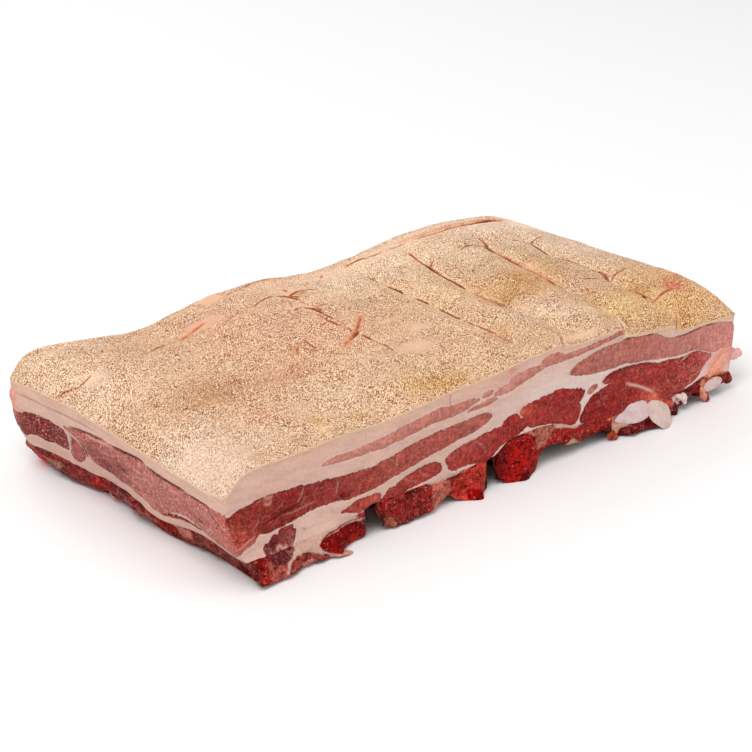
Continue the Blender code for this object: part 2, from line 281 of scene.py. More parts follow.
# Each lean shape on a cut face: its colour at its left end and at its right end, and its outline.
FRONT_LEAN = [
    (LEAN_PALE, LEAN_PALE, [
        (-137, 53.8), (-129, 55.8), (-115, 55.6), (-100, 57), (-85, 58.6), (-70, 60.4), (-54, 62),
        (-49, 60.6), (-38, 60.3), (-29, 60.2), (-25, 58), (-31, 55.6), (-38, 54), (-46, 53.6), (-60, 54),
        (-75, 52.6), (-90, 51.2), (-105, 51), (-120, 51.6), (-131, 52.2)]),
    (LEAN_PALE, LEAN_PALE, [(-23.5, 59.3), (-20, 61.6), (-15.5, 61.5), (-15, 59.6), (-19, 58)]),
    (LEAN_PALE, LEAN_PALE, [(-34, 53), (-27, 55.4), (-19, 56.8), (-13, 56.4), (-11, 54.6), (-16, 53),
                            (-25, 52.8)]),
    (LEAN_PALE, LEAN_PINK, [
        (-14, 57.4), (-10, 60.6), (-3, 61.6), (0, 64), (8, 65.5), (16, 66), (22, 65.4), (26, 68.4),
        (32, 69.6), (38, 68.8), (43, 66.6), (56, 66.5), (70, 67), (85, 67.7), (92, 69.6), (90, 65.4),
        (80, 64.2), (60, 63.2), (45, 62.6), (30, 62.6), (22, 61.4), (12, 59), (2, 56.6), (-6, 56)]),
    (LEAN_DEEP, (164, 84, 72), [
        (-210, 44), (-198, 43.8), (-190, 46.2), (-183, 46.6), (-177, 47.8), (-168, 47.6), (-158, 47),
        (-150, 46.8), (-148, 45.6), (-140, 45.2), (-130, 44.2), (-126, 43.6), (-118, 43), (-110, 42.6),
        (-103, 42), (-96, 43.4), (-87, 44.4), (-80, 45.6), (-70, 47), (-60, 47.8), (-46, 48), (-33, 48.4),
        (-24, 49), (-17.5, 48), (-15, 45.8), (-17.5, 43.2), (-23, 41.2), (-31, 39.4), (-41, 38.2),
        (-50, 37), (-60, 35.6), (-70, 34), (-80, 32.2), (-90, 31), (-100, 29.2), (-110, 28.4), (-120, 28.6),
        (-128, 30), (-145, 29.6), (-153, 28.2), (-163, 27.2), (-172, 26.4), (-178, 27.2), (-181, 24.4),
        (-186, 22.4), (-192.5, 20.2), (-196, 22.5), (-204, 20)]),
    (LEAN_PURPLE, LEAN_PURPLE, [
        (-176, 17), (-174.6, 20.6), (-171.6, 21.2), (-169.6, 23.8), (-166.4, 23.8), (-164, 26),
        (-156.6, 26), (-156, 23.6), (-153.6, 22), (-155, 18.4), (-158, 14), (-162, 9), (-166, 6), (-171, 6),
        (-173.4, 10)]),
    ((160, 62, 55), (154, 55, 49), [
        (-125, 22.4), (-119, 24.6), (-113, 26), (-105, 25.5), (-98.5, 25.4), (-96.3, 23), (-97.5, 20),
        (-103, 19.6), (-107, 18.2), (-112, 17.8), (-118, 20.2)]),
    (LEAN_RED, LEAN_DARK, [
        (-99, 17.4), (-94.4, 21.6), (-91, 25.4), (-86.5, 25.4), (-84, 27), (-78, 28.8), (-70, 30.2),
        (-62, 30.9), (-57, 30.3), (-53.4, 28.4), (-52, 25.6), (-53.6, 23), (-58, 21.6), (-66, 20.6),
        (-76, 20), (-84, 18.6), (-92, 16)]),
    (LEAN_RED, LEAN_DARK, [
        (-49.6, 29), (-47, 31.4), (-40, 33.4), (-30, 35), (-24, 35.4), (-20.5, 36.6), (-16, 35.8),
        (-12.5, 37.2), (-8.5, 36.4), (-5, 39.2), (0, 41.2), (4, 40.8), (8, 37.4), (12, 34), (14, 31),
        (9, 28.4), (2, 26.6), (-6, 25), (-11, 22.4), (-16, 19), (-22, 19), (-32, 20.6), (-44, 20.6),
        (-47.4, 23), (-49, 26)]),
    (LEAN_RED, LEAN_DARK, [
        (7, 40.4), (10, 43.2), (16, 44.4), (22, 44.6), (24.5, 45.4), (30, 45), (36, 46.2), (41, 45.6),
        (45, 44.2), (50, 42.8), (57, 41), (60.4, 38.4), (60, 36), (57.4, 33.2), (55.4, 32), (57.2, 30),
        (57.4, 26), (55.6, 22), (52, 19.4), (44, 22), (36, 25), (28, 27), (18, 28), (14.6, 29.6),
        (12, 34)]),
    (LEAN_PINK, LEAN_PINK, [(62.6, 37.3), (65, 39.2), (68.5, 40), (71.4, 39), (70.6, 37), (67, 35.2),
                            (64, 35.4)]),
    ((126, 29, 28), (154, 56, 49), [
        (75.5, 39), (78, 41.4), (82, 42.9), (90, 43.6), (99, 43.2), (108, 42.2), (115, 41), (120, 39.4),
        (123, 38.2), (128, 38.3), (134, 38), (141, 36.4), (150, 36.2), (157, 36.6), (164, 34.6),
        (170, 31.8), (174, 29), (168, 25), (163, 21), (159, 17.6), (150, 14.8), (142, 12), (132, 11),
        (121, 13), (108, 15), (96, 15.4), (86, 14.6), (78, 13.6), (68, 14.6), (60, 17.6), (57, 20),
        (58.6, 24.4), (62, 28.6), (65, 31.4), (68.4, 33.8), (75, 35.4), (84, 36.2), (79, 37)]),
    ((164, 92, 80), (190, 122, 111), [
        (46, 53.4), (48.4, 56), (53, 58.2), (60, 59.6), (67, 61), (75, 61.6), (84, 61.2), (90, 61.2),
        (98, 62), (105, 61.6), (111, 60.2), (118, 58.6), (124, 56), (130, 53.2), (136, 51.4), (143, 50.9),
        (152, 50.8), (162, 51.3), (170, 51), (179, 50), (185, 48.4), (196, 45), (206, 40), (206, 29),
        (190, 30.4), (182, 31.6), (176, 31), (170, 32.6), (163, 35.6), (156, 37.4), (149, 37.6),
        (140, 38.6), (130, 39.9), (122, 41), (115, 42.6), (108, 43.6), (100, 44.6), (94, 46), (87, 45.6),
        (79, 46), (70, 47), (62, 48.2), (55, 49.6), (49.6, 51.4)]),
]

LEFT_LEAN = [
    (LEAN_PURPLE, LEAN_PURPLE, [
        (112, 34), (104, 37), (97, 37.8), (91, 38.8), (85, 41), (76, 42.2), (66, 42.2), (58, 40.6),
        (52.4, 39.4), (51.6, 35), (53.6, 29), (56, 25), (60, 24.8), (66, 26.2), (72, 25.6), (79, 27),
        (85, 26.4), (89, 24.2), (94, 23.4), (99, 25.4), (104, 22.6), (112, 20)]),
    ((160, 84, 78), (160, 84, 78), [
        (41.4, 37.6), (38.4, 34.4), (38.6, 29), (41.4, 24.6), (46, 20.4), (50, 18.6), (54, 20), (55.2, 23),
        (52.4, 27), (50.6, 31.4), (47.4, 35.4), (44.4, 37.8)]),
    ((176, 106, 96), (166, 96, 88), [
        (52, 43), (45, 44), (38, 45.4), (30, 47), (20, 47.6), (10, 48.9), (0, 49), (-12, 49.5), (-25, 49.2),
        (-31, 47.6), (-45, 46.4), (-60, 46), (-75, 45.2), (-90, 45.2), (-112, 44.6), (-112, 21),
        (-97, 19.6), (-92.6, 16.8), (-86, 14.4), (-78, 15.2), (-70, 16.4), (-61, 20.4), (-53, 24.2),
        (-44, 23.6), (-36, 20.6), (-30, 17.6), (-23, 17.4), (-17, 20.4), (-8, 22), (0, 23), (8, 22.6),
        (15, 24), (24, 23.4), (33, 25.4), (35.4, 31), (36.4, 36.4), (41, 40.4), (47, 41)]),
    (LEAN_DEEP, LEAN_DEEP, [(-27, 16.6), (-35, 19.8), (-45, 21.6), (-55, 21.2), (-61, 19.2), (-50, 19.6),
                            (-38, 17.8)]),
]

RIGHT_LEAN = [
    (LEAN_PINK, LEAN_PALE, [
        (-112, 44), (-90, 45.6), (-70, 48), (-45, 48.4), (-20, 49), (10, 48.4), (40, 49.4), (70, 48.8),
        (112, 48), (112, 31), (84, 30), (60, 31.4), (35, 30), (8, 31.6), (-20, 30.4), (-45, 31.2),
        (-70, 29.4), (-112, 30)]),
    (LEAN_DARK, LEAN_RED, [
        (-112, 26), (-80, 26.6), (-62, 27.8), (-50, 26), (-47, 21), (-52, 16.4), (-70, 15.4), (-90, 14),
        (-112, 14)]),
    (LEAN_RED, LEAN_DARK, [
        (-43, 25), (-34, 28.2), (-15, 28.4), (4, 29), (14, 26.4), (16, 21), (10, 16.8), (-8, 15.4),
        (-28, 15.6), (-41, 18.6)]),
    (LEAN_DARK, LEAN_DEEP, [
        (20, 24.6), (28, 27.4), (46, 28), (66, 28), (86, 27), (112, 26), (112, 15), (88, 16), (60, 15.2),
        (36, 15.8), (23, 18.4)]),
]

# Thin lines on the cut faces: how strong (white above 0, a dark crease below, whose darkness is painted
# shade), half width, and the line.
FRONT_LINES = [
    (1.3, 0.55, [(95, 33.5), (100, 31), (108, 27.5), (115, 23.5), (121, 20)]),
    (0.8, 0.4, [(143, 33.4), (148, 35), (153, 36.8)]),
    (0.6, 0.5, [(-175, 44.6), (-172, 43), (-170, 45)]),
    (0.6, 0.5, [(-174.6, 47), (-171, 46.4), (-168.6, 46.6)]),
    (-0.5, 0.5, [(-176, 43), (-172.6, 41.2), (-169.4, 42.6)]),
    (0.5, 0.3, [(-149, 46), (-151, 41), (-154, 37.5)]),
    (0.5, 0.3, [(-126.5, 42), (-127.5, 38), (-128, 35)]),
    (0.45, 0.35, [(-176, 31), (-170, 33.4), (-163, 34.6), (-157, 33.4), (-150, 34), (-140, 34.4)]),
    (-0.7, 0.6, [(-176, 31.4), (-172, 33.4), (-164, 35), (-156, 36.4), (-153, 38)]),
    (-0.6, 0.6, [(-126, 34), (-123, 31.6), (-118, 31)]),
    (-0.5, 0.4, [(-188, 44), (-189.5, 39), (-187, 35)]),
    (-0.4, 0.3, [(-182, 43), (-178, 39), (-178, 35)]),
    (0.3, 0.3, [(-197, 36), (-191, 33), (-186, 32.4)]),
    (-0.5, 0.4, [(-196, 30), (-190, 27.4), (-184, 27)]),
    (0.6, 0.5, [(-194, 22.6), (-188, 25.6), (-181, 28)]),
    (0.5, 0.4, [(-190, 21), (-184, 24.4), (-178, 26)]),
    (-0.4, 0.4, [(-192, 41), (-194, 36), (-192, 31), (-194, 26)]),
    (0.3, 0.3, [(-184, 31), (-180, 34), (-179, 38)]),
    (0.35, 0.3, [(-28, 34), (-24, 31), (-20.5, 27)]),
    (0.35, 0.3, [(-70, 30), (-66, 26), (-61, 23)]),
    (0.3, 0.3, [(-80, 28), (-76, 25), (-70, 23)]),
    (0.4, 0.35, [(-86, 43), (-86.5, 39.5), (-85, 37)]),
    (0.2, 0.3, [(105, 37), (112, 34), (118, 35), (124, 34)]),
    (0.4, 0.35, [(146, 33), (147.5, 29), (145.5, 25), (140, 23.5)]),
    (0.3, 0.35, [(130, 30), (132, 25), (137, 20), (141, 16)]),
    (0.4, 0.4, [(152, 26), (157, 24), (163, 25.5)]),
    (0.5, 0.4, [(157, 21), (162, 22.6), (168, 25.6), (174, 29)]),
    (-0.55, 0.5, [(76, 38.8), (82, 42.3), (90, 43), (100, 42.6), (110, 41.3), (120, 38.8)]),
    (-0.6, 0.5, [(92, 61.2), (98, 61.6), (105, 61.3), (111, 60), (117, 58.6)]),
    (-0.55, 0.4, [(137, 51.6), (145, 50.9), (154, 50.8), (162, 51.6)]),
    (-0.5, 0.4, [(166, 51), (172, 50.8)]),
    (-0.6, 0.5, [(144, 32.6), (148, 33.6), (152, 36)]),
    (-0.5, 0.6, [(60, 24), (66, 22.5), (73, 23.5), (80, 21)]),
    (-0.35, 0.3, [(-150, 22), (-147.5, 19.6)]),
    (-0.3, 0.25, [(-131, 25.6), (-129.5, 24)]),
    (-0.3, 0.25, [(-48.5, 19.8), (-45, 20)]),
    # These two white lines are a painted glint on the wet purple lean.
    (0.9, 0.6, [(-169, 15.6), (-166.5, 17.6), (-164, 15.4), (-161.5, 17)]),
    (0.6, 0.4, [(-173, 17), (-171.4, 14.4), (-169.6, 15.6)]),
    (0.5, 0.8, [(-157, 17.4), (-161, 12), (-164, 8)]),
    (-0.35, 0.4, [(-46, 68), (-46.4, 64), (-45.8, 60)]),
]

# The same for the left end: lines below 0 are creases darkened with painted shade.
LEFT_LINES = [
    (-0.8, 0.5, [(46, 44.6), (35, 46.6), (24, 47.6), (10, 49)]),
    (-0.75, 0.5, [(2, 48.4), (-10, 49), (-22, 49.4), (-26, 48.4)]),
    (-0.8, 0.5, [(-28, 47.8), (-38, 46.8), (-50, 46.1), (-62, 45.8)]),
    (-0.6, 0.4, [(-66, 45.3), (-78, 44.9), (-83, 43.6), (-84.5, 40.6)]),
    (-0.35, 0.35, [(97, 50), (80, 50.6), (60, 50.3), (40, 51), (15, 51.4)]),
    (0.8, 0.5, [(30, 46.6), (20, 46.2), (8, 47.6), (0, 47.4)]),
    (0.5, 0.4, [(16, 41), (8, 41.4), (2, 42.6), (-2, 45)]),
    (0.5, 0.4, [(-15, 36), (-24, 38), (-30, 40.6)]),
    (0.5, 0.4, [(-42, 33), (-48, 35), (-55, 38)]),
    (0.5, 0.4, [(-70, 41), (-74, 37), (-80, 35)]),
    (0.7, 0.7, [(-88, 36), (-91, 34.6), (-93, 34)]),
    (0.7, 0.6, [(-69, 22), (-72, 25.4), (-76, 27.6)]),
    (0.5, 0.5, [(2, 31), (-6, 32), (-14, 31), (-22, 32)]),
    (-0.8, 0.8, [(37.4, 38), (36.6, 34), (37, 30), (38.4, 26.6)]),
    (-0.7, 0.9, [(48, 33.4), (45.4, 36.4), (46.8, 38.4)]),
    (-0.5, 0.5, [(-60, 31), (-66, 29), (-72, 30)]),
    (-0.6, 0.5, [(-83, 43), (-86, 38), (-88, 33)]),
    (-0.4, 0.5, [(3, 37), (-4, 36), (-8, 34)]),
]

# Soft stains on the cut faces: place, height, radius, colour and strength.
FRONT_STAINS = [
    (-172.5, 43.5, 3.2, (206, 106, 82), 0.85),
    (10, 41, 4, (184, 86, 60), 0.7),
    (14, 38, 5, (176, 72, 54), 0.5),
    (0, 68, 3.5, (206, 84, 80), 0.5),
    (-2, 66, 8, (222, 160, 148), 0.3),
    (-148, 64, 3, (206, 130, 100), 0.3),
    (78, 38, 4, (190, 84, 60), 0.3),
    (183, 25, 11, (226, 132, 104), 0.8),
    (196, 30, 8, (226, 132, 110), 0.7),
    (176, 18, 7, (220, 122, 94), 0.8),
    (190, 32, 8, (222, 142, 130), 0.6),
    (120, 18, 6, (204, 96, 74), 0.7),
    (112, 20, 6, (196, 84, 66), 0.5),
]
FRONT_LEAN_STAINS = [
    (-196, 32, 9, (174, 72, 52), 0.75),
    (-190, 24, 8, (178, 78, 60), 0.7),
    (-160, 38, 16, (116, 24, 22), 0.8),
    (-138, 37, 12, (128, 38, 34), 0.5),
    (-124, 31, 5, (116, 12, 14), 0.8),
    (-112, 36, 16, (142, 52, 46), 0.4),
    (-60, 43, 26, (160, 78, 66), 0.6),
    (-28, 45, 12, (154, 88, 76), 0.7),
    (-102, 23, 6, (178, 78, 60), 0.5),
    (-170, 19, 4, (66, 16, 24), 0.8),
    (-159, 20, 4, (150, 80, 76), 0.6),
    (-166, 10, 6, (150, 74, 74), 0.7),
    (104, 57, 16, (170, 92, 78), 0.6),
    (184, 40, 16, (204, 132, 122), 0.7),
    (152, 20, 9, (168, 66, 54), 0.6),
    (30, 25, 12, (168, 62, 50), 0.6),
    (30, 36, 12, (136, 36, 34), 0.6),
    (70, 17, 8, (140, 24, 22), 0.6),
]
FRONT_FAT_STAINS = [
    (-172, 49, 8, (216, 140, 128), 0.2),
    (20, 55, 14, (226, 200, 186), 0.4),
    (42, 52, 12, (224, 202, 194), 0.4),
    (72, 43.5, 9, (226, 200, 190), 0.5),
    (-140, 22, 12, (222, 190, 174), 0.4),
]

LEFT_STAINS = [
    (97, 42, 6, (232, 150, 132), 0.6),
    (101, 36, 5, (222, 110, 88), 0.7),
    (30, 57, 6, (226, 158, 142), 0.3),
    (53, 56, 3, (226, 150, 104), 0.3),
]
LEFT_LEAN_STAINS = [
    (-95, 37, 9, (184, 80, 62), 0.7),
    (-97, 27, 10, (174, 66, 48), 0.85),
    (-82, 24, 9, (190, 98, 86), 0.5),
    (18, 31, 14, (108, 40, 40), 0.95),
    (-2, 35, 8, (116, 46, 44), 0.8),
    (20, 42, 12, (150, 84, 80), 0.5),
    (-14, 42, 10, (156, 88, 84), 0.5),
    (-60, 36, 16, (168, 90, 82), 0.5),
    (70, 36, 12, (112, 40, 38), 0.6),
]

# Patches of colour on the rib layer's cut faces, painted in turn: colour and outline.
BEIGE = (205, 166, 151)
# Near-black painted shadow for the shaded flanks beside the notches.
NOTCH_SHADE = (22, 5, 6)
FRONT_MEAT = [
    ((104, 40, 36), [(-206, 20), (-186, 18), (-181, 12), (-183, 4), (-192, -2), (-206, 4)]),
    ((136, 18, 14), [(-184, 15), (-178, 16), (-176, 9), (-174, 2), (-179, -2), (-184, 4), (-183, 10)]),
    ((156, 70, 60), [(-177, 12), (-170, 12), (-164, 9), (-162, 2), (-168, -2), (-175, -2), (-177, 5)]),
    ((92, 28, 32), [(-176, 20), (-153, 20), (-156, 15), (-160, 10.5), (-166, 8.5), (-172, 10), (-176, 14)]),
    (BEIGE, [(-164, 8), (-158, 13), (-154, 18), (-104, 20), (-108, 13), (-135, 13), (-143, 11), (-137, 5),
             (-124, 0), (-132, -2), (-142, 5), (-152, 10), (-160, 9), (-167, 3)]),
    ((140, 54, 46), [(-158, 9), (-150, 9), (-142, 6), (-136, 3), (-138, -1), (-160, -1), (-162, 4)]),
    ((200, 120, 106), [(-154, 5), (-148, 5), (-145, 3), (-148, 1), (-153, 2)]),
    ((160, 40, 32), [(-114, 17.4), (-106, 17.4), (-107, 14), (-112, 14.6)]),
    # Painted shadow beside the first notch, where its flank lies in shade.
    (NOTCH_SHADE, [(-108, 21), (-100, 19), (-96.5, 14), (-95, 6), (-96, -2), (-108, -2)]),
    ((136, 18, 16), [(-99, 17), (-92, 20), (-82, 20), (-80, 15), (-90, 12), (-96, 13)]),
    ((150, 84, 56), [(-93, 8), (-88, 7), (-83, 3), (-84, 0), (-90, 0)]),
    ((128, 30, 26), [(-84, 18), (-60, 18.4), (-57, 8), (-60, -1), (-84, -1), (-86, 8)]),
    ((182, 96, 80), [(-60, 17), (-48, 16.6), (-42, 8), (-38, 3), (-45, 0), (-58, -1), (-60, 8)]),
    (BEIGE, [(-62, 20), (-30, 21.5), (-33, 18.6), (-40, 17), (-48, 17.4), (-60, 18)]),
    (BEIGE, [(30, 27.6), (40, 24.6), (56, 19), (54, 17), (45, 19.6), (36, 22.6)]),
    ((184, 106, 88), [(17, 28), (30, 28), (36, 24), (28, 14), (23, 11), (21, 16), (19, 22), (12, 26)]),
    ((156, 26, 20), [(24, 12), (30, 16), (38, 21), (48, 18.6), (52, 13), (46, 9), (36, 8), (27, 6),
                     (23, 6)]),
    ((202, 152, 126), [(45, 9.4), (51, 11), (60, 6.6), (60, 3), (52, 4), (46, 7)]),
    ((134, 24, 20), [(53, 17), (64, 15), (80, 15), (84, 10), (79, 5), (66, 5), (58, 6), (52, 12)]),
    ((204, 106, 80), [(80, 15), (92, 17.4), (89, 12), (84, 12.4)]),
    ((210, 158, 134), [(84, 12), (90, 11.6), (98, 6), (92, 2), (86, 5)]),
    ((100, 16, 20), [(90, 6), (98, 8), (108, 8), (116, 4), (120, -2), (92, -2)]),
    ((204, 82, 58), [(110, 19.6), (118, 19.8), (127, 16), (136, 10), (137, 6), (131, 9), (123, 14.6),
                     (116, 16.4)]),
    ((214, 176, 168), [(136, 14), (142, 13), (144, 8), (143, 1), (138, 1)]),
    ((112, 22, 26), [(149, 14), (156, 16.4), (163, 14), (163, 6), (158, 6), (152, 3), (148, 4)]),
    ((200, 118, 94), [(163, 14), (168, 15), (169, 2), (165, 2), (163.5, 6)]),
    ((206, 116, 88), [(166, 21), (202, 21), (196, 13), (180, 15), (172, 14)]),
    ((58, 14, 14), [(168, 6), (180, 6.6), (192, 6), (196, 1), (168, 1)]),
]

# Sawn marrow on the front: fine red grains.
FRONT_MARROW = [
    ((122, 8, 8), [(-143, 11), (-139, 13), (-130, 13.8), (-120, 14.4), (-112, 13.4), (-108.5, 9), (-106, 2),
                   (-110, 0), (-122, 0), (-131, 3), (-138, 7)]),
    ((150, 32, 24), [(-120, 5), (-110, 7), (-105, 4), (-106, 0), (-122, 0)]),
    ((130, 10, 8), [(-143, 11), (-138, 12), (-132, 8), (-128, 3), (-134, 4), (-139, 7)]),
    ((178, 52, 42), [(-42, 15), (-37, 18), (-30, 19.6), (-22, 19.6), (-18, 16), (-15, 8), (-14.6, 1),
                     (-22, -2), (-32, -1), (-42, 3), (-45, 8)]),
    ((172, 60, 48), [(-22, 18), (-17, 15), (-15, 8), (-15, 0), (-19, 5), (-20, 12)]),
    ((140, 8, 8), [(-34, 6), (-27, 6), (-21, 2), (-24, -2), (-33, -1)]),
    ((150, 22, 18), [(-11, 14), (-9, 21), (-4, 25), (4, 26.4), (13, 25.6), (19, 22), (21.5, 14), (23.5, 4),
                     (18, -2), (4, -2), (-6, 0), (-10, 6)]),
    ((116, 20, 18), [(-12, 16), (-9, 22), (-4, 24), (-4, 14), (-5, 7), (-7, 4), (-10.6, 8)]),
    # Painted shadow beside the second notch, where its flank lies in shade.
    (NOTCH_SHADE, [(-18, 22), (-11.4, 20), (-10.4, 12), (-8.4, 5), (-4, 1), (-7, -2), (-18, -2)]),
    ((90, 8, 8), [(5, 4), (10, 5), (13, 2), (10, -2), (5, -2)]),
]

LEFT_MEAT = [
    ((180, 56, 42), [(112, 16), (104, 15), (97, 14), (90, 9), (94, -2), (112, -2)]),
    ((196, 30, 24), [(101, 10), (95, 11), (89, 8), (88, 3), (96, 1)]),
    ((150, 100, 84), [(87, 10), (76, 12), (66, 13), (68, 7), (80, 5), (86, 4)]),
    ((122, 50, 46), [(68, 9), (58, 8), (48, 3), (50, -1), (66, -1), (78, 1)]),
    ((168, 20, 22), [(44, 11), (36, 12.6), (29, 9), (30, 4), (38, 2), (44, 5)]),
    ((196, 136, 118), [(31, 6), (25, 6), (24, 1), (30, 0)]),
    ((134, 60, 56), [(22, 13), (8, 12), (-14, 11), (-16, 4), (0, 3), (18, 5)]),
    ((138, 16, 16), [(-19, 11), (-28, 12), (-33, 8), (-28, 4), (-20, 5)]),
    ((172, 104, 90), [(-33, 12), (-42, 13), (-50, 11), (-46, 7), (-36, 7)]),
    ((120, 44, 37), [(-48, 12), (-66, 14), (-84, 13), (-92, 9), (-80, 4), (-56, 3)]),
]

# ---------------------------------------------------------------- painting the cut faces


def smooth_outline(points, closes, per_step=6):
    """Points along a smooth line through points, which may close on itself."""
    points = np.array(points, float)
    if closes:
        before, after = np.roll(points, 1, 0), np.roll(points, -1, 0)
        later = np.roll(points, -2, 0)
        starts = points
    else:
        padded = np.vstack([points[:1], points, points[-1:]])
        before, starts, after, later = padded[:-3], padded[1:-2], padded[2:-1], padded[3:]
    s = np.linspace(0, 1, per_step, endpoint=False)[None, :, None]
    before, starts, after, later = (a[:, None, :] for a in (before, starts, after, later))
    path = 0.5 * (
        2 * starts
        + (after - before) * s
        + (2 * before - 5 * starts + 4 * after - later) * s**2
        + (3 * starts - before - 3 * after + later) * s**3
    )
    path = path.reshape(-1, 2)
    return path if closes else np.vstack([path, points[-1:]])


def line_distance(places, path):
    """How each place (n, 2) lies to a path.

    Gives its distance, how far along the path the nearest point lies, from 0 to 1, and that point's second
    coordinate.
    """
    nearest = np.full(len(places), 1e9)
    along = np.zeros(len(places))
    height = np.zeros(len(places))
    lengths = np.linalg.norm(np.diff(path, axis=0), axis=1)
    walked = np.concatenate([[0], np.cumsum(lengths)])
    for i, (start, end) in enumerate(zip(path, path[1:])):
        step = end - start
        size = max(step @ step, 1e-9)
        share = np.clip(((places - start) @ step) / size, 0, 1)
        foot = start + share[:, None] * step
        gap = np.hypot(*(places - foot).T)
        closer = gap < nearest
        nearest[closer] = gap[closer]
        along[closer] = (walked[i] + share[closer] * lengths[i]) / walked[-1]
        height[closer] = foot[closer, 1]
    return nearest, along, height


def inside(places, path):
    """Whether each place lies inside a closed path."""
    crossings = np.zeros(len(places), int)
    for start, end in zip(path, np.roll(path, -1, 0)):
        spans = (start[1] > places[:, 1]) != (end[1] > places[:, 1])
        rise = end[1] - start[1] if abs(end[1] - start[1]) > 1e-9 else 1e-9
        meets = start[0] + (places[:, 1] - start[1]) / rise * (end[0] - start[0])
        crossings += spans & (places[:, 0] < meets)
    return crossings % 2 == 1


FAR = 6.0  # a place this far outside a shape isn't touched by it
SCALLOP = 4.6  # width of the bundles that scallop a muscle's upper edge
PATCH_EDGE = 1.2  # width over which a patch of torn meat turns into the next


def closed(path):
    """A path with its first point once more at its end."""
    return np.vstack([path, path[:1]])


def near_shape(places, path, reach):
    """Numbers of the places in a path's box, widened by reach."""
    low = path.min(0) - reach
    high = path.max(0) + reach
    return np.where(((places > low) & (places < high)).all(1))[0]


class Paint:
    """The tissue at places (n, 2) on one cut face."""

    def __init__(self, places, fat):
        self.places = places
        self.lean = np.full(len(places), -FAR)
        self.shade = np.zeros(len(places))
        self.lean_colour = np.tile(linear(LEAN_BROWN), (len(places), 1))
        self.fat_colour = fat
        self.line = np.zeros(len(places))
        self.marrow = np.zeros(len(places))

    def add_lean(self, shapes):
        for first, second, points in shapes:
            path = smooth_outline(points, True)
            touched = near_shape(self.places, path, FAR)
            if not len(touched):
                continue
            spots = self.places[touched]
            distance, _, height = line_distance(spots, closed(path))
            within = inside(spots, path)
            # A muscle's upper edge is scalloped where its bundles end, with a crease over each that painted
            # shade darkens.
            above = np.where(within, height - spots[:, 1], spots[:, 1] - height) / np.maximum(distance, 0.1)
            upper = ease(0.5 + 0.8 * above)
            distance = np.where(within, distance, -distance)
            size = np.ptp(path[:, 1])
            wave = np.abs(np.sin(spots[:, 0] * np.pi / SCALLOP + 1.4 * np.sin(spots[:, 0] / 9.0)))
            distance += min(size / 12, 0.6) * upper * (0.8 * np.sqrt(wave) - 0.5)
            share = np.clip((spots[:, :1] - path[:, 0].min()) / np.ptp(path[:, 0]), 0, 1)
            colour = linear(first) * (1 - share) + linear(second) * share
            closer = distance > self.lean[touched]
            chosen = touched[closer]
            self.lean[chosen] = distance[closer]
            self.lean_colour[chosen] = colour[closer]
            # Painted shade along the lean's rim, strongest at its upper edge and on darker muscles.
            dark = float(np.clip((150 - np.mean(first)) / 70, 0, 1))
            rim_shade = np.exp(-(((distance[closer] - 0.1) / 0.5) ** 2))
            self.shade[chosen] = dark * (0.05 + 0.35 * upper[closer]) * rim_shade

    def add_lines(self, lines):
        for strength, half_width, points in lines:
            path = smooth_outline(points, False)
            touched = near_shape(self.places, path, 4 * half_width)
            if not len(touched):
                continue
            distance, along, _ = line_distance(self.places[touched], path)
            taper = np.sqrt(np.clip(np.minimum(along, 1 - along) * 6, 0, 1))
            mark = strength * taper * np.exp(-((distance / half_width) ** 2) / 2)
            stronger = np.abs(mark) > np.abs(self.line[touched])
            self.line[touched[stronger]] = mark[stronger]

    def add_patches(self, patches, marrow, ragged):
        """Paints patches with ragged edges over torn meat, and marks which of them are marrow."""
        for number, (colour, points) in enumerate(patches + marrow):
            path = smooth_outline(points, True, 4)
            touched = near_shape(self.places, path, 2.0)
            if not len(touched):
                continue
            spots = self.places[touched]
            distance = line_distance(spots, closed(path))[0]
            distance = np.where(inside(spots, path), distance, -distance) + 1.1 * ragged[touched]
            share = ease(0.5 + distance / PATCH_EDGE)
            self.lean_colour[touched] += share[:, None] * (linear(colour) - self.lean_colour[touched])
            is_marrow = float(number >= len(patches))
            self.marrow[touched] += share * (is_marrow - self.marrow[touched])

    def add_stains(self, stains, on_lean, on_fat):
        for x, z, radius, colour, strength in stains:
            gap = np.hypot(self.places[:, 0] - x, self.places[:, 1] - z)
            share = strength * np.exp(-((gap / radius) ** 2))
            if on_lean:
                tint(self.lean_colour, colour, share)
            if on_fat:
                tint(self.fat_colour, colour, share)


def fat_base(x, y, z):
    """The colour of plain fat: warmer just under the rind, whiter low on the right."""
    under_rind = np.exp(-np.clip(rind_top(x, y) - z, 0, 60) / 5.0)[:, None]
    white = (ease((x + 60) / 120) * ease((60 - z) / 16))[:, None]
    colour = np.tile(linear(FAT_PLAIN), (len(x), 1))
    colour += white * (linear(FAT_WHITE) - colour)
    colour += 0.55 * under_rind * (linear(FAT_WARM) - colour)
    return colour


def layer_share(x, y, z):
    """Height within the layers: 0 on the floor, 1 and 2 at their borders from below, and 3 at the rim."""
    low, middle, high = rib_top(x, y), cap_base(x, y), rim(x, y)
    share = np.where(z < low, z / low, 1 + (z - low) / (middle - low))
    return np.where(z > middle, 2 + (z - middle) / (high - middle), share)


def height_at_share(x, y, share):
    """The height that layer_share would call share."""
    low, middle, high = rib_top(x, y), cap_base(x, y), rim(x, y)
    height = np.where(share < 1, share * low, low + (share - 1) * (middle - low))
    return np.where(share > 2, middle + (share - 2) * (high - middle), height)


# Sets of stains, and whether each falls on lean and on fat.
FRONT_STAIN_SETS = [
    (FRONT_STAINS, True, True),
    (FRONT_LEAN_STAINS, True, False),
    (FRONT_FAT_STAINS, False, True),
]
LEFT_STAIN_SETS = [(LEFT_STAINS, True, True), (LEFT_LEAN_STAINS, True, False)]

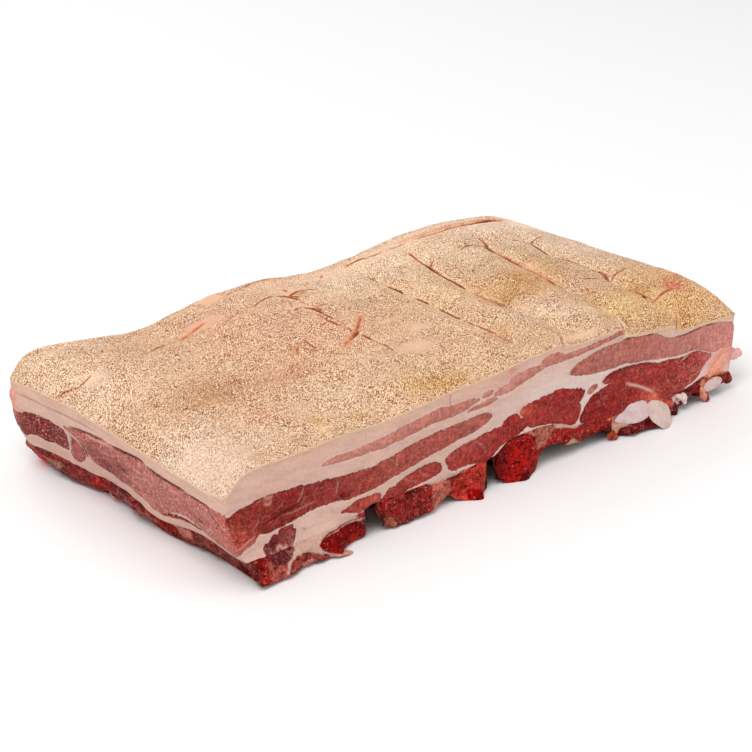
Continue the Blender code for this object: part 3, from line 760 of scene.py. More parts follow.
# What is painted on each wall: lean, lines, sets of stains, and the rib layer's patches and marrow.
LONG_WALL = (FRONT_LEAN, FRONT_LINES, FRONT_STAIN_SETS, FRONT_MEAT, FRONT_MARROW)
WALLS = {
    FRONT: LONG_WALL,
    RIGHT: (RIGHT_LEAN, [], [], LEFT_MEAT, []),
    BACK: LONG_WALL,
    LEFT: (LEFT_LEAN, LEFT_LINES, LEFT_STAIN_SETS, LEFT_MEAT, []),
}


def paint_faces(points, side, deep):
    """The tissue over walls, where side tells which wall each point is on.

    deep paints the rib layer instead of the layers above it.
    """
    flat = points.reshape(-1, 3)
    side = side.reshape(-1)
    x, y, z = flat.T
    painted = {
        "lean": np.full(len(flat), -FAR),
        "lean_colour": np.tile(linear(MEAT_DARK if deep else LEAN_BROWN), (len(flat), 1)),
        "fat_colour": fat_base(x, y, z),
        "line": np.zeros(len(flat)),
        "shade": np.zeros(len(flat)),
        "marrow": np.zeros(len(flat)),
    }
    # The back face shows the front's layers again, drawn out and shifted so that it isn't a plain copy.
    back_x = -8 + 0.96 * x + 9 * np.sin(x / 47.0)
    back_z = height_at_share(back_x, np.full_like(x, -HALF_WIDTH), layer_share(x, y, z))
    across = {FRONT: (x, z), RIGHT: (y, z), BACK: (back_x, back_z), LEFT: (y, z)}
    ragged = 0.3 * lumps(flat, 3.0, 3)
    for wall, (shapes, lines, stain_sets, patches, sawn) in WALLS.items():
        chosen = np.where(side == wall)[0]
        if not len(chosen):
            continue
        paint = Paint(np.stack(across[wall], 1)[chosen], painted["fat_colour"][chosen])
        if deep:
            paint.lean[:] = FAR
            paint.lean_colour[:] = linear(MEAT_DARK)
            paint.add_patches(patches, sawn, ragged[chosen])
        else:
            paint.add_lean(shapes)
            paint.add_lines(lines)
            for stains, on_lean, on_fat in stain_sets:
                paint.add_stains(stains, on_lean, on_fat)
        for key, values in painted.items():
            values[chosen] = getattr(paint, key)
    painted["lean_edge"] = painted.pop("lean") + ragged
    # The left end's meat is coarser, and so are both ends of the front.
    coarse = (side == LEFT) * (0.45 + 0.45 * ease((10 - y) / 60))
    coarse = coarse + 0.15 * ease((-150 - x) / 40) + 0.45 * ease((x - 110) / 50)
    painted["coarse"] = np.clip(coarse, 0, 1)
    shape = points.shape[:-1]
    return {key: values.reshape(shape + values.shape[1:]) for key, values in painted.items()}


# ---------------------------------------------------------------- meshes


def make_ring(left, right, spacings, radius=CORNER_RADIUS):
    """Columns around a block between two ends, left(y) and right(y): places, outward directions and sides.

    spacings are those of the front, right, back and left side.
    """
    wide = (right(-HALF_WIDTH) - left(-HALF_WIDTH)) / 2
    runs = []
    corners = [(wide, -HALF_WIDTH), (wide, HALF_WIDTH), (-wide, HALF_WIDTH), (-wide, -HALF_WIDTH)]
    for side, spacing in enumerate(spacings):
        start = np.array(corners[side - 1])
        end = np.array(corners[side])
        along = (end - start) / np.linalg.norm(end - start)
        out = np.array([along[1], -along[0]])
        count = int(np.ceil((np.linalg.norm(end - start) - 2 * radius) / spacing))
        share = np.linspace(0, 1, count, endpoint=False)[:, None]
        straight = start + along * radius + share * (end - start - 2 * radius * along)
        runs.append((straight, np.tile(out, (count, 1)), np.full(count, side)))
        turn = np.radians(np.linspace(0, 90, CORNER_STEPS, endpoint=False))[:, None]
        arc_out = out * np.cos(turn) + along * np.sin(turn)
        arc = end - along * radius - out * radius + radius * arc_out
        arc_side = np.where(turn[:, 0] < np.radians(45), side, (side + 1) % len(spacings))
        runs.append((arc, arc_out, arc_side))
    places, outward, side = (np.concatenate(parts) for parts in zip(*runs))
    y = places[:, 1]
    share = (places[:, 0] / wide + 1) / 2
    x = left(y) + share * (right(y) - left(y))
    return x, y, outward, side


def cap_triangles(outline, inner):
    """Triangles over a closed outline (n, 2) and loose places inside it, as numbers into both together."""
    points = [Vector(place) for place in np.vstack([outline, inner])]
    filled = delaunay_2d_cdt(points, [], [range(len(outline))], 1, 1e-7)
    sources = [source[0] for source in filled[3]]
    return [[sources[i] for i in triangle] for triangle in filled[2]]


def inner_places(outline, spacing, margin):
    """A grid of places inside a closed outline (n, 2), kept margin away from it."""
    low, high = outline.min(0), outline.max(0)
    across = np.arange(low[0], high[0], spacing)
    deep = np.arange(low[1] + margin, high[1] - margin, spacing)
    grid = np.stack(np.meshgrid(across, deep), -1).reshape(-1, 2)
    path = outline[::3]
    grid = grid[inside(grid, path)]
    return grid[line_distance(grid, closed(path))[0] > margin]


def make_mesh(name, points, quads, triangles, attributes, material):
    """An object from points in millimetres, with numbers and colours stored at its points."""
    mesh = bpy.data.meshes.new(name)
    mesh.from_pydata((points * MM).tolist(), [], quads.tolist() + triangles)
    for key, values in attributes.items():
        if values.ndim == 2:
            layer = mesh.attributes.new(key, "FLOAT_COLOR", "POINT")
            values = np.hstack([values, np.ones((len(values), 1))])
            layer.data.foreach_set("color", values.astype(np.float32).ravel())
        else:
            layer = mesh.attributes.new(key, "FLOAT", "POINT")
            layer.data.foreach_set("value", values.astype(np.float32))
    mesh.validate()
    mesh.shade_smooth()
    mesh.materials.append(material)
    made = bpy.data.objects.new(name, mesh)
    bpy.context.collection.objects.link(made)
    return made


def ring_quads(rows, columns, flip=False):
    """Quads of a grid of rows that close on themselves."""
    row, column = np.meshgrid(np.arange(rows - 1), np.arange(columns), indexing="ij")
    next_column = (column + 1) % columns
    corners = [row * columns + column, row * columns + next_column]
    corners += [(row + 1) * columns + next_column, (row + 1) * columns + column]
    quads = np.stack(corners, -1).reshape(-1, 4)
    return quads[:, ::-1] if flip else quads


def end_fans(rows, columns):
    """Triangles that close both ends of a pile of rings, whose two middle points follow the rings."""
    middle, last = rows * columns, (rows - 1) * columns
    triangles = []
    for i in range(columns):
        j = (i + 1) % columns
        triangles += [[middle, i, j], [middle + 1, last + j, last + i]]
    return triangles


def close_block(name, wall, attributes, outline, ends, material):
    """A piece from its wall, rows of points whose plan is outline, and its bottom and top ends.

    Each end is the plan places that fill it and their points. These hidden points repeat the attributes of
    the wall's first one.
    """
    rows, columns = wall.shape[:2]
    points = [wall.reshape(-1, 3)]
    triangles = []
    for first_of_ring, turn, (places, inner) in zip((0, (rows - 1) * columns), (-1, 1), ends):
        first_inner = sum(len(part) for part in points)
        for triangle in cap_triangles(outline, places):
            numbers = [first_of_ring + i if i < columns else first_inner + i - columns for i in triangle]
            triangles.append(numbers[::turn])
        points.append(inner)
    points = np.vstack(points)
    padded = {}
    for key, values in attributes.items():
        flat = values.reshape((rows * columns,) + values.shape[2:])
        padded[key] = np.concatenate([flat, np.repeat(flat[:1], len(points) - len(flat), axis=0)])
    return make_mesh(name, points, ring_quads(rows, columns), triangles, padded, material)


def wander(points):
    """How far the cut faces swing in and out as a whole, which the rind's edge follows too."""
    return 0.9 * lumps(points, 26, 1) + 0.35 * lumps(points, 8, 2) - 0.6


def tissue_relief(points, attributes):
    """How far a cut face stands out: lean swells, and seams and creases sink."""
    edge = attributes["lean_edge"]
    line = attributes["line"]
    swell = 0.5 * (1 - np.exp(-np.clip(edge, 0, 20) / 1.4))
    groove = -0.2 * np.exp(-((edge - 0.2) ** 2) / 0.4)
    crease = -0.5 * np.clip(-line, 0, 1) - 0.15 * np.clip(line, 0, 1)
    uneven = wander(points) + 0.14 * lumps(points, 3, 5)
    fibre = 0.14 * lumps(points, 1.4, 6) * (edge > 0)
    return swell + groove + crease + uneven + fibre - 0.2 * attributes["shade"]


def layered_wall(name, low, high, rows, material, sunk=0.1):
    """A closed piece whose four walls run from height low(x, y) to high(x, y).

    Its bottom and top are plain, and the top is sunk by some millimetres inside the walls.
    """
    spacings = (FINE, COARSE, COARSE, FINE)
    x, y, outward, side = make_ring(lambda _: -HALF_LENGTH, lambda _: HALF_LENGTH, spacings)
    bottom, top = low(x, y), high(x, y)
    z = bottom + np.linspace(0, 1, rows)[:, None] * (top - bottom)
    points = bend(np.tile(x, (rows, 1)), np.tile(y, (rows, 1)), z)
    attributes = paint_faces(points, np.tile(side, (rows, 1)), False)
    points[..., :2] += tissue_relief(points, attributes)[..., None] * outward
    outline = np.stack([x, y], 1)
    inner = inner_places(outline, FILL_SPACING, FILL_MARGIN)
    inner_x, inner_y = inner.T
    low_points = bend(inner_x, inner_y, low(inner_x, inner_y) + 0.1)
    high_points = bend(inner_x, inner_y, high(inner_x, inner_y) - sunk)
    ends = [(inner, low_points), (inner, high_points)]
    made = close_block(name, points, attributes, outline, ends, material)
    made.data.set_sharp_from_angle(angle=np.radians(55))
    return made


# ---------------------------------------------------------------- rind

RIND_THICK = 2.2
RIND_SKIRT = [(0.35, 0.7), (0.30, 1.5), (-0.3, RIND_THICK)]  # how far out and down, from the edge
RIND_ROW = 1.05
RIND_COLUMN = 1.12
LINE_COLUMNS = np.array([-2.6, -1.9, -1.3, -0.8, -0.4, 0.0, 0.4, 0.8, 1.3, 1.9, 2.6])

SKIN = (221, 184, 148)
CREAM = (230, 204, 174)
TAN = (207, 164, 124)
PINK_TAN = (219, 174, 142)
GOLD = (205, 158, 98)
PALE = (232, 206, 178)

# Soft patches of colour on the rind: place, reach along X and Y, colour and strength.
RIND_PATCHES = [
    (-190, -75, 30, 40, (230, 212, 194), 0.9),
    (-185, 50, 32, 50, (236, 208, 180), 0.9),
    (-172, -80, 36, 24, (212, 178, 148), 0.55),
    (-140, -14, 44, 22, (194, 146, 104), 0.8),
    (-88, -8, 30, 20, (214, 172, 134), 0.6),
    (-150, 62, 40, 24, TAN, 0.4),
    (-90, -60, 40, 26, (222, 192, 162), 0.7),
    (-80, 40, 36, 30, PINK_TAN, 0.9),
    (-95, 65, 26, 12, PINK_TAN, 0.7),
    (-40, 20, 34, 40, PINK_TAN, 0.8),
    (-25, -42, 22, 10, (206, 166, 136), 0.9),
    (-10, -8, 14, 5, (188, 142, 100), 0.8),
    (0, 60, 30, 26, CREAM, 0.6),
    (40, 15, 34, 44, (226, 192, 150), 0.7),
    (45, -70, 30, 22, (208, 172, 130), 0.7),
    (75, -62, 22, 22, PALE, 0.8),
    (90, -10, 26, 18, GOLD, 0.6),
    (90, 50, 40, 30, (230, 202, 168), 0.8),
    (135, 20, 40, 30, (214, 180, 142), 0.8),
    (125, -72, 32, 24, GOLD, 0.8),
    (165, -75, 34, 22, GOLD, 0.95),
    (178, -40, 26, 20, (218, 170, 110), 0.8),
    (175, 40, 34, 50, PALE, 0.9),
    (185, 85, 30, 18, PALE, 0.9),
    (120, 92, 80, 8, (234, 206, 180), 0.8),
    (-168, -88, 4, 4, (196, 146, 70), 0.7),
    (-122, -74, 4, 7, (200, 160, 80), 0.7),
    (-122, -92, 4, 4, (200, 160, 80), 0.6),
    (-102, -86, 5, 5, (204, 160, 90), 0.7),
    (45, 72, 60, 22, (244, 218, 190), 0.7),
    (150, 78, 40, 22, (246, 222, 196), 0.8),
    (165, -72, 30, 16, (236, 190, 130), 0.8),
    (120, -70, 26, 14, (234, 200, 144), 0.7),
    (-48, -80, 16, 14, (206, 162, 84), 0.7),
    (-35, -90, 12, 8, (206, 156, 84), 0.7),
    (18, -62, 12, 8, (210, 160, 110), 0.6),
    (92, -10, 24, 14, (202, 148, 76), 0.8),
    (126, 6, 14, 12, (208, 160, 96), 0.6),
    (70, -24, 22, 6, (200, 146, 70), 0.8),
    (57, -29, 5, 4, (150, 96, 36), 0.9),
    (60, -12, 5, 12, (214, 160, 100), 0.7),
    (110, -10, 9, 10, (212, 158, 104), 0.7),
    (156, -50, 7, 7, (196, 140, 66), 0.7),
    (150, -90, 14, 8, (214, 158, 92), 0.7),
    (191, -48, 10, 7, (206, 120, 70), 0.6),
    (181, -58, 9, 7, (208, 88, 40), 1.0),
    (-150, -52, 14, 7, (216, 166, 136), 0.5),
    (-137, -47, 8, 8, (218, 160, 132), 0.5),
    (-95, -15, 16, 14, (214, 158, 126), 0.6),
    (-68, 92, 7, 7, (216, 152, 122), 0.9),
    (-62, 97, 6, 4, (226, 166, 140), 0.7),
    (-92, 66, 11, 6, (206, 128, 98), 0.9),
]

# Smooth places where the speckled skin has been scraped off: place, reach along X and Y, and strength.
SCRAPED = [
    (-188, -78, 36, 36, 0.5),
    (-90, 67, 14, 7, 1.0),
    (-68, 92, 9, 9, 1.0),
    (-24, -44, 18, 10, 0.75),
    (-10, -8, 14, 4, 0.8),
    (-4, -26, 12, 6, 0.6),
    (-30, 70, 26, 14, 0.5),
    (50, 86, 160, 14, 0.5),
    (190, 85, 24, 18, 0.8),
    (60, -92, 24, 6, 0.7),
    (-183, 42, 9, 9, 0.6),
    (118, 8, 20, 6, 0.5),
]

# Cuts and creases: half width, depth, how dark (colour and painted shade, a painted highlight below 0), how
# pink, and the line along X and Y.
RIND_MARKS = [
    (0.8, 0.8, 0.6, 0.4, [(-60, 59), (-51, 64), (-41, 65.7), (-38, 63), (-34.4, 60.8)]),
    (1.5, 0.8, 1.0, 0.9, [(-38, 63.6), (-34.4, 60.8), (-33.2, 56), (-32.6, 49)]),
    (1.4, 0.6, 0.9, 0.9, [(-34.4, 59), (-31, 57.6), (-29.4, 53)]),
    (0.7, 0.8, 0.6, 0.4, [(-32.6, 50), (-33, 43)]),
    (1.1, 1.0, 0.85, 0.9, [(-34, 58), (-26, 62.4), (-20, 65)]),
    (0.7, 0.8, 0.6, 0.6, [(-21, 64.6), (-15, 65), (-9, 64)]),
    (2.0, 0.8, 0.35, 1.0, [(-30, 57), (-23.8, 60), (-17, 62)]),
    (2.0, 0.5, -0.7, 0.5, [(-15, 93), (-22, 80), (-26, 72)]),
    (1.0, 0.8, 1.0, 0.6, [(-27.6, 71.6), (-27, 68)]),
    (0.8, 0.8, 0.6, 0.4, [(-46, 38.6), (-38.7, 40.4), (-36, 37.5), (-35, 34)]),
    (1.4, 0.8, 1.0, 0.8, [(-38, 38.6), (-35.5, 35.4), (-34.9, 30), (-35, 24)]),
    (1.1, 0.5, 0.8, 0.8, [(-35, 36), (-32.6, 33), (-32.2, 28)]),
    (0.7, 0.8, 0.6, 0.4, [(-35, 27), (-35.4, 20), (-35.7, 14)]),
    (1.1, 0.8, 0.5, 0.8, [(-34, 34), (-28.6, 36), (-20, 37.3)]),
    (1.0, 0.8, 1.0, 0.5, [(-40, 16), (-38.4, 11), (-37.9, 5)]),
    (0.7, 0.8, 0.5, 0.4, [(-37.9, 7), (-37, 1), (-37, -5)]),
    (2.2, 1.0, 0.42, 0.9, [(-57, -19.4), (-46, -11.4), (-38.6, -7.6), (-32, -3), (-24.5, 4), (-15, 13.4)]),
    (0.8, 0.8, 0.85, 0.5, [(-47, -13), (-39, -9.6), (-33, -5.6)]),
    (0.6, 0.6, 0.5, 0.4, [(71, 46), (73, 49), (77, 51)]),
    (0.9, 1.1, 0.8, 0.3, [(100, 51), (106, 53.6), (112, 53), (118, 50), (121, 45)]),
    (0.9, 1.0, 0.5, 0.6, [(121, 47), (125, 54), (128, 62), (129, 67)]),
    (1.0, 1.1, 0.7, 0.3, [(144, 50.6), (150, 47.4), (158, 45.6)]),
    (0.7, 0.8, 0.5, 0.4, [(157, 46), (164, 48.6), (172, 51), (180, 55)]),
    (1.0, 0.8, 0.4, 0.3, [(-60, 87), (-50, 91), (-35, 94), (-22, 95), (-12, 93), (-5, 88)]),
    (0.8, 0.9, 0.5, 0.0, [(36, 81), (32, 83), (33.5, 86), (39, 88), (48, 88.4), (58, 87), (81, 84.8),
                          (96, 84.6)]),
    (0.9, 1.4, 0.8, 0.3, [(86, 84.6), (106, 84.8), (120, 85), (146, 87), (160, 88), (176, 88)]),
    (1.4, 0.7, 0.05, 0.8, [(78, 87), (106, 87.2), (132, 88.2), (150, 89.4), (170, 90), (186, 90)]),
    (1.0, 0.7, 0.2, 0.1, [(57, -32), (70, -29), (85, -25.6), (94, -22)]),
    (0.8, 0.5, 0.3, 0.1, [(62, -1), (75, 1), (88, 3), (104, 7)]),
    (0.8, 0.5, 0.25, 0.1, [(105, 2), (118, 3.4), (130, 4), (141, 3)]),
    (0.8, 0.7, 0.6, 0.1, [(126, -26), (137, -27), (148, -28), (152, -31)]),
    (1.0, 1.0, 0.5, 0.3, [(159.6, -4), (158.6, -14), (155.4, -22), (152, -31)]),
    (0.8, 0.9, 0.5, 0.2, [(152, -30), (160, -25.4), (169, -22.6), (178, -19.6), (195, -18)]),
    (1.2, 1.1, 0.75, 0.3, [(156, -55), (149.4, -61), (147.8, -67)]),
    (1.0, 1.0, 0.65, 0.8, [(147.4, -67), (158.5, -64), (169, -61.8), (181, -59)]),
    (1.3, 0.8, -0.6, 0.3, [(148, -68), (149.6, -72), (149.6, -79), (146, -90)]),
    (0.8, 0.7, 0.5, 0.2, [(98, -63), (102, -65.6), (106, -67.4)]),
    (0.6, 0.5, 0.4, 0.1, [(112, -73), (108.6, -81.6), (103, -91)]),
    (0.9, 0.8, 0.55, 0.3, [(103, -17), (104, -13), (108, -10), (112, -9)]),
    (1.2, 0.7, -0.2, 0.1, [(-10, -62), (5, -58), (20, -52), (32, -42), (45, -29), (57, -31)]),
    (0.7, 0.7, 0.7, 0.1, [(-200, 55), (-195, 49.6), (-191, 44.4), (-186, 44), (-180, 47)]),
    (0.5, 0.3, 0.3, 0.0, [(-169, 95), (-167, 80), (-167, 62)]),
    (0.9, 0.7, 0.55, 0.5, [(-142, 54), (-132, 57), (-122, 60), (-112, 60)]),
    (1.8, 0.9, 0.4, 1.0, [(-114, 60), (-106, 62), (-97, 65), (-88, 68)]),
    (0.6, 0.4, 0.3, 0.0, [(-88, 57), (-74, 59), (-58, 61)]),
    (1.1, 0.7, 0.5, 0.8, [(-80, -8), (-74, 0), (-67, 3.4)]),
    (0.6, 0.6, 0.45, 0.1, [(-64.6, 10), (-66, 2), (-68, -13)]),
    (1.4, 0.5, 0.6, 0.4, [(-118, 84.6), (-116, 82)]),
    (2.0, 0.4, 0.4, 0.8, [(-109, 80), (-106, 80)]),
    (0.9, 0.6, 0.5, 0.0, [(-12, -50), (-12.4, -54), (-13, -59)]),
    (0.7, 0.5, 0.5, 0.1, [(113, -45), (116, -46), (120, -49)]),
    (0.7, 0.5, 0.5, 0.1, [(106, -57), (109, -59), (112, -63)]),
    (0.8, 0.6, 0.6, 0.4, [(-50, -98), (-47, -95), (-46, -91)]),
    (0.8, 0.5, 0.3, 0.5, [(17, 88), (12, 84)]),
]

# Stretches of the score lines: line, from and to along Y, half width, depth, how dark (colour and painted
# shade), how pink.
SCORE_CUTS = [
    (0, -10, -42, 0.7, 0.6, 0.55, 0.1),
    (1, 68, 50, 0.7, 0.7, 0.4, 0.1),
    (1, 43, 25, 0.8, 1.6, 1.0, 0.1),
    (1, 16, 1, 0.8, 1.5, 0.85, 0.2),
    (1, -7, -31, 0.9, 1.5, 0.95, 0.2),
    (1, -34, -64, 0.8, 0.7, 0.35, 0.3),
    (1, -60, -80, 0.9, 0.7, 0.35, 0.2),
    (2, 73, 50, 0.9, 1.1, 0.7, 0.6),
    (2, 54, 30, 1.1, 1.7, 0.85, 0.7),
    (2, 34, 3, 0.9, 1.7, 0.95, 0.2),
    (2, -4, -33, 1.2, 1.0, 0.4, 0.3),
    (2, -57, -78, 0.7, 0.5, 0.35, 0.1),
    (2, -86, -100, 1.2, 1.2, 0.4, 0.3),
    (3, 55, 20, 1.5, 1.9, 0.55, 0.6),
    (3, 26, -24, 1.7, 1.8, 0.45, 0.7),
    (3, 50, 38, 1.3, 2.0, 1.0, 0.3),
    (3, -76, -100, 1.4, 1.8, 0.35, 0.5),
    (4, 47, 24, 0.8, 1.6, 0.95, 0.2),
    (4, 21, -5, 0.7, 0.8, 0.5, 0.1),
    (4, -8, -28, 1.3, 1.3, 0.5, 0.7),
    (4, -46, -82, 0.7, 0.6, 0.35, 0.1),
    (4, -80, -100, 1.1, 1.2, 0.3, 0.3),
]


def rind_columns():
    """Places across X for every row: even, but closer beside the score lines, which they follow."""
    y = np.linspace(-HALF_WIDTH, HALF_WIDTH, int(2 * HALF_WIDTH / RIND_ROW))
    keys = [np.full_like(y, -HALF_LENGTH)] + [line(y) for line in SCORES] + [np.full_like(y, HALF_LENGTH)]
    near = LINE_COLUMNS[-1]
    columns = []
    for i, (start, end) in enumerate(zip(keys, keys[1:])):
        is_first, is_last = i == 0, i == len(keys) - 2
        first = start if is_first else start + near
        last = end if is_last else end - near
        shares = np.linspace(0, 1, int(np.mean(last - first) / RIND_COLUMN))
        shares = shares[0 if is_first else 1:None if is_last else -1]
        columns += [first + share * (last - first) for share in shares]
        if not is_last:
            columns += [end + offset for offset in LINE_COLUMNS]
    x = np.stack(columns, 1)
    return x, np.repeat(y[:, None], x.shape[1], 1)


def rounded_corners(x, y, radius=CORNER_RADIUS):
    """Plan places with the four square corners drawn in to round ones."""
    over_x = np.clip((np.abs(x) - HALF_LENGTH + radius) / radius, 0, 1)
    over_y = np.clip((np.abs(y) - HALF_WIDTH + radius) / radius, 0, 1)
    pull = np.maximum(over_x, over_y) / np.maximum(np.hypot(over_x, over_y), 1e-6)
    round_x = np.sign(x) * (HALF_LENGTH - radius + radius * over_x * pull)
    round_y = np.sign(y) * (HALF_WIDTH - radius + radius * over_y * pull)
    both = (over_x > 0) & (over_y > 0)
    return np.where(both, round_x, x), np.where(both, round_y, y)


class Cuts:
    """The marks of cuts over the rind's places: relief, how dark (colour and painted shade, with painted
    highlight on the lips below 0) and how pink.
    """

    def __init__(self, spots):
        self.spots = spots
        self.relief, self.dark, self.pink = np.zeros((3, len(spots)))

    def add(self, chosen, distance, fade, half_width, depth, darkness, pinkness):
        """Adds one cut to the chosen places, given their distance from it and its fading ends."""
        span = distance / half_width
        groove = 0.1 * np.exp(-((span - 2.4) ** 2) / 1.4) - 0.3 * np.exp(-(span**2))
        self.relief[chosen] += fade * depth * groove
        dark = self.dark[chosen]
        patchy = 0.85 + 0.7 * lumps(self.spots[chosen], 7, 39)
        patchy = np.clip(patchy, 0.4 + 0.4 * max(darkness, 0), 1.2)
        core = np.exp(-((distance / np.clip(half_width, 0.9, 1.2)) ** 2))
        mark = fade * (0.25 + 0.75 * darkness) * patchy * core
        dark = np.where(np.abs(mark) > np.abs(dark), mark, dark)
        # A pale lip on each side: a painted highlight.
        lip = np.exp(-(((distance - 1.9 * max(half_width, 0.9)) / 0.6) ** 2))
        self.dark[chosen] = dark - 0.22 * min(depth, 1.8) * fade * lip * (np.abs(dark) < 0.15)
        self.pink[chosen] = np.maximum(self.pink[chosen], fade * pinkness * np.exp(-((span / 1.35) ** 4)))


def paint_rind(x, y):
    """Relief and colours over the rind."""
    flat_x, flat_y = x.ravel(), y.ravel()
    places = np.stack([flat_x, flat_y], 1)
    spots = np.stack([flat_x, flat_y, 0 * flat_x], 1)
    warp = 7 * np.stack([lumps(spots, 22, 31), lumps(spots, 22, 32)])
    colour = np.tile(linear(SKIN), (len(flat_x), 1))
    for centre_x, centre_y, reach_x, reach_y, patch, strength in RIND_PATCHES:
        is_small = max(reach_x, reach_y) < 12
        warped_x, warped_y = places.T + (0.3 if is_small else 1.0) * warp
        gap = ((warped_x - centre_x) / reach_x) ** 2 + ((warped_y - centre_y) / reach_y) ** 2
        tint(colour, patch, strength * np.exp(-gap))
    bare = np.zeros(len(flat_x))
    for centre_x, centre_y, reach_x, reach_y, strength in SCRAPED:
        gap = ((flat_x - centre_x) / reach_x) ** 2 + ((flat_y - centre_y) / reach_y) ** 2
        bare = np.maximum(bare, strength * np.exp(-gap))
    wobble = 0.5 * lumps(spots, 5, 33) + 0.25 * lumps(spots, 2, 34)
    cuts = Cuts(spots)
    for half_width, *kind, points in RIND_MARKS:
        path = smooth_outline(points, False)
        chosen = near_shape(places, path, 6 * half_width)
        distance, along, _ = line_distance(places[chosen] + 0.6 * wobble[chosen, None], path)
        fade = np.sqrt(np.clip(np.minimum(along, 1 - along) * 5, 0, 1))
        cuts.add(chosen, distance, fade, half_width, *kind)
    for line, start, end, half_width, *kind in SCORE_CUTS:
        low, high = min(start, end), max(start, end)
        distance = np.abs(flat_x - SCORES[line](flat_y) + 0.5 * wobble) * 0.97
        chosen = np.where((distance < 6 * half_width) & (flat_y > low) & (flat_y < high))[0]
        ends = np.minimum(flat_y[chosen] - low, high - flat_y[chosen])
        cuts.add(chosen, distance[chosen], np.sqrt(np.clip(ends / 4, 0, 1)), half_width, *kind)

    # The walls of the steps at the front rim show the skin's pale cut side.
    for line, _, _, _ in RIM_STEPS:
        wall = (np.abs(flat_x - SCORES[line](flat_y) + 0.2) < 0.4) & (flat_y < -64)
        bare[wall] = 1.0
        cuts.dark[wall] = -0.3
        cuts.pink[wall] = 0.2

    # From the middle to the right, each patch between two score lines swells.
    nearest = np.min([np.abs(flat_x - line(flat_y)) for line in SCORES], axis=0)
    scored = ease((flat_x + 20) / 40) * ease((86 - flat_y) / 20) * ease((flat_y + 90) / 20)
    relief = cuts.relief + 2.6 * scored * (ease(nearest / 11) - 0.7)
    relief += 0.9 * lumps(spots, 42, 35) + 0.5 * lumps(spots, 15, 36) + 0.2 * lumps(spots, 6, 37)
    relief += 0.10 * lumps(spots, 2.2, 38) * (1 - bare)
    # Behind the long cut near the back edge the skin stands up as a lip.
    relief += 1.2 * ease((flat_x + 30) / 40) * ease((flat_y - 86) / 4) * (1 - ease((flat_x - 187) / 6))
    painted = {"rind_colour": colour, "bare": bare, "dark": cuts.dark, "pink": cuts.pink}
    return relief, painted


def border(rows, columns):
    """Numbers of a grid's border points, once round."""
    bottom = np.arange(columns)
    right = np.arange(1, rows) * columns + columns - 1
    top = (rows - 1) * columns + np.arange(columns - 2, -1, -1)
    left = np.arange(rows - 2, 0, -1) * columns
    return np.concatenate([bottom, right, top, left])


def make_rind(material):
    """The rind: a sheet with rolled edges, patches and cuts, and a narrow skirt down its cut side."""
    x, y = rind_columns()
    rows, columns = x.shape
    relief, painted = paint_rind(x, y)
    x, y = rounded_corners(x, y)
    z = rind_top(x, y) + relief.reshape(x.shape)
    # The edges roll over slightly and follow the cut faces.
    from_edge = np.minimum(HALF_LENGTH - np.abs(x), HALF_WIDTH - np.abs(y))
    z -= 0.7 * np.clip(1 - from_edge / 1.6, 0, 1) ** 2
    points = bend(x, y, z)
    swing = wander(points)
    points[..., 0] += swing * ease((np.abs(x) - HALF_LENGTH + 12) / 12) * np.sign(x)
    points[..., 1] += swing * ease((np.abs(y) - HALF_WIDTH + 12) / 12) * np.sign(y)
    top = points.reshape(-1, 3)
    row, column = np.meshgrid(np.arange(rows - 1), np.arange(columns - 1), indexing="ij")
    first = row * columns + column
    quads = [np.stack([first, first + 1, first + columns + 1, first + columns], -1).reshape(-1, 4)]
    ring = border(rows, columns)
    edge = top[ring]
    along = np.roll(edge, -1, 0) - np.roll(edge, 1, 0)
    outward = np.stack([along[:, 1], -along[:, 0]], 1)
    outward /= np.linalg.norm(outward, axis=1)[:, None]
    size = len(ring)
    parts = [top]
    upper = ring
    for out, down in RIND_SKIRT:
        lower = sum(len(part) for part in parts) + np.arange(size)
        parts.append(edge + np.hstack([out * outward, np.full((size, 1), -down)]))
        quads.append(np.stack([upper, lower, np.roll(lower, -1), np.roll(upper, -1)], 1))
        upper = lower
    outline = parts[-1][:, :2]
    inner = inner_places(outline, FILL_SPACING, FILL_MARGIN)
    inner_z = rind_top(*inner.T) - RIND_THICK - 2.5
    parts.append(np.column_stack([inner, inner_z]))
    triangles = [[upper[0] + i for i in triangle][::-1] for triangle in cap_triangles(outline, inner)]
    # The skirt repeats the values of the sheet's edge, and the hidden points those of its first point.
    skirt = np.tile(ring, len(RIND_SKIRT))
    copied = np.concatenate([np.arange(len(top)), skirt, np.zeros(len(inner), int)])
    attributes = {key: values[copied] for key, values in painted.items()}
    attributes["cut_side"] = np.zeros(len(copied))
    attributes["cut_side"][len(top):-len(inner)] = 1.0
    made = make_mesh("rind", np.vstack(parts), np.vstack(quads), triangles, attributes, material)
    made.data.set_sharp_from_angle(angle=np.radians(80))
    return made


# ---------------------------------------------------------------- rib layer


def block_ends(y):
    """Left and right end of each of the three blocks of rib meat."""
    first = swept(FIRST_SPLIT, y)
    second = swept(SECOND_SPLIT, y)
    half_first = first_notch(y) / 2
    half_second = second_notch(y) / 2
    return (
        (-HALF_LENGTH, first - half_first),
        (first + half_first + first_hollow(y), second - half_second),
        (second + half_second + second_hollow(y), HALF_LENGTH),
    )


